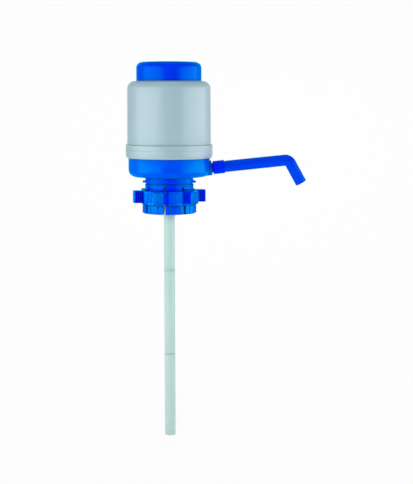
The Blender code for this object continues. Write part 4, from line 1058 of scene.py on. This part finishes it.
def make_sweep():
    """Floor that curves up into the backdrop."""
    front, back, bend, height, half_width, steps = -1.3, 0.9, 0.7, 2.0, 1.0, 12
    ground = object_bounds()[0][2] - 0.0005
    profile = [(front, ground), (back, ground)]
    for k in range(1, steps + 1):
        a = math.pi / 2 * k / steps
        profile.append((back + bend * math.sin(a), ground + bend * (1 - math.cos(a))))
    profile.append((back + bend, ground + height))
    bm = bmesh.new()
    left, right = ([bm.verts.new((x, y, z)) for y, z in profile] for x in (-half_width, half_width))
    for k in range(len(profile) - 1):
        bm.faces.new((left[k], right[k], right[k + 1], left[k + 1]))
    mesh = bpy.data.meshes.new("sweep")
    bm.to_mesh(mesh)
    bm.free()
    mesh.shade_smooth()
    mesh.materials.append(paper())
    sweep = bpy.data.objects.new("studio_sweep", mesh)
    bpy.context.scene.collection.objects.link(sweep)


def make_world():
    """White studio, dim as a light, and in a gloss darker on the camera's side of the room."""
    white, dark_side, least = 0.975, 0.08, 0.12
    world = bpy.data.worlds.new("studio")
    bpy.context.scene.world = world
    world.use_nodes = True
    tree = world.node_tree
    back = tree.nodes["Background"]
    back.inputs["Color"].default_value = (1, 1, 1, 1)
    split = add(tree, "ShaderNodeSeparateXYZ")
    tree.links.new(add(tree, "ShaderNodeTexCoord").outputs["Generated"], split.inputs[0])
    room = add(tree, "ShaderNodeMapRange", in_From_Min=-0.45, in_From_Max=0.1, in_To_Min=dark_side,
               in_To_Max=white)
    tree.links.new(split.outputs["Y"], room.inputs["Value"])
    path = add(tree, "ShaderNodeLightPath")
    seen = joined(tree, "MULTIPLY", path.outputs["Is Camera Ray"], white)
    shown = joined(tree, "MAXIMUM", room.outputs["Result"], seen)
    level = joined(tree, "MULTIPLY", shown, looking_rays(tree))
    tree.links.new(joined(tree, "MAXIMUM", level, least), back.inputs["Strength"])


def area(name, where, target, width, height, power, glossy=True):
    data = bpy.data.lights.new(name, "AREA")
    data.shape = "RECTANGLE"
    data.size = width
    data.size_y = height
    data.energy = power
    obj = bpy.data.objects.new(name, data)
    bpy.context.scene.collection.objects.link(obj)
    obj.location = where
    obj.rotation_euler = (Vector(target) - Vector(where)).to_track_quat("-Z", "Y").to_euler()
    obj.visible_glossy = glossy


def make_lamps():
    """Two panels that draw the highlights, a soft top, and fills that don't show in a gloss."""
    area("left_panel", (-1.27, -0.80, -0.04), (0, 0, 0.02), width=2.35, height=1.2, power=25)
    area("right_panel", (1.48, -0.24, -0.04), (0, 0, 0.02), width=2.5, height=1.2, power=24.5)
    area("top_box", (0.0, -0.2, 1.4), (0, 0, 0), width=1.2, height=0.9, power=3)
    area("front_fill", (0.0, -2.2, 0.70), (0, 0, 0), width=1.2, height=0.7, power=15.5, glossy=False)
    area("back_fill", (0.0, 1.3, 0.80), (0, 0, 0.05), width=1.2, height=0.9, power=10, glossy=False)


def make_camera():
    """Camera at the photograph's view."""
    eye, aim = Vector((0.0483, -1.5, 0.114)), Vector((0.0483, 0, -0.073))
    data = bpy.data.cameras.new("camera")
    data.sensor_width = 36
    data.sensor_fit = "AUTO"
    data.lens = 86.0
    data.clip_start = 0.05
    camera = bpy.data.objects.new("camera", data)
    bpy.context.scene.collection.objects.link(camera)
    camera.location = eye
    camera.rotation_euler = (aim - eye).to_track_quat("-Z", "Y").to_euler()
    bpy.context.scene.camera = camera


make_sweep()
make_world()
make_lamps()
make_camera()

bpy.context.scene.view_settings.view_transform = "Standard"
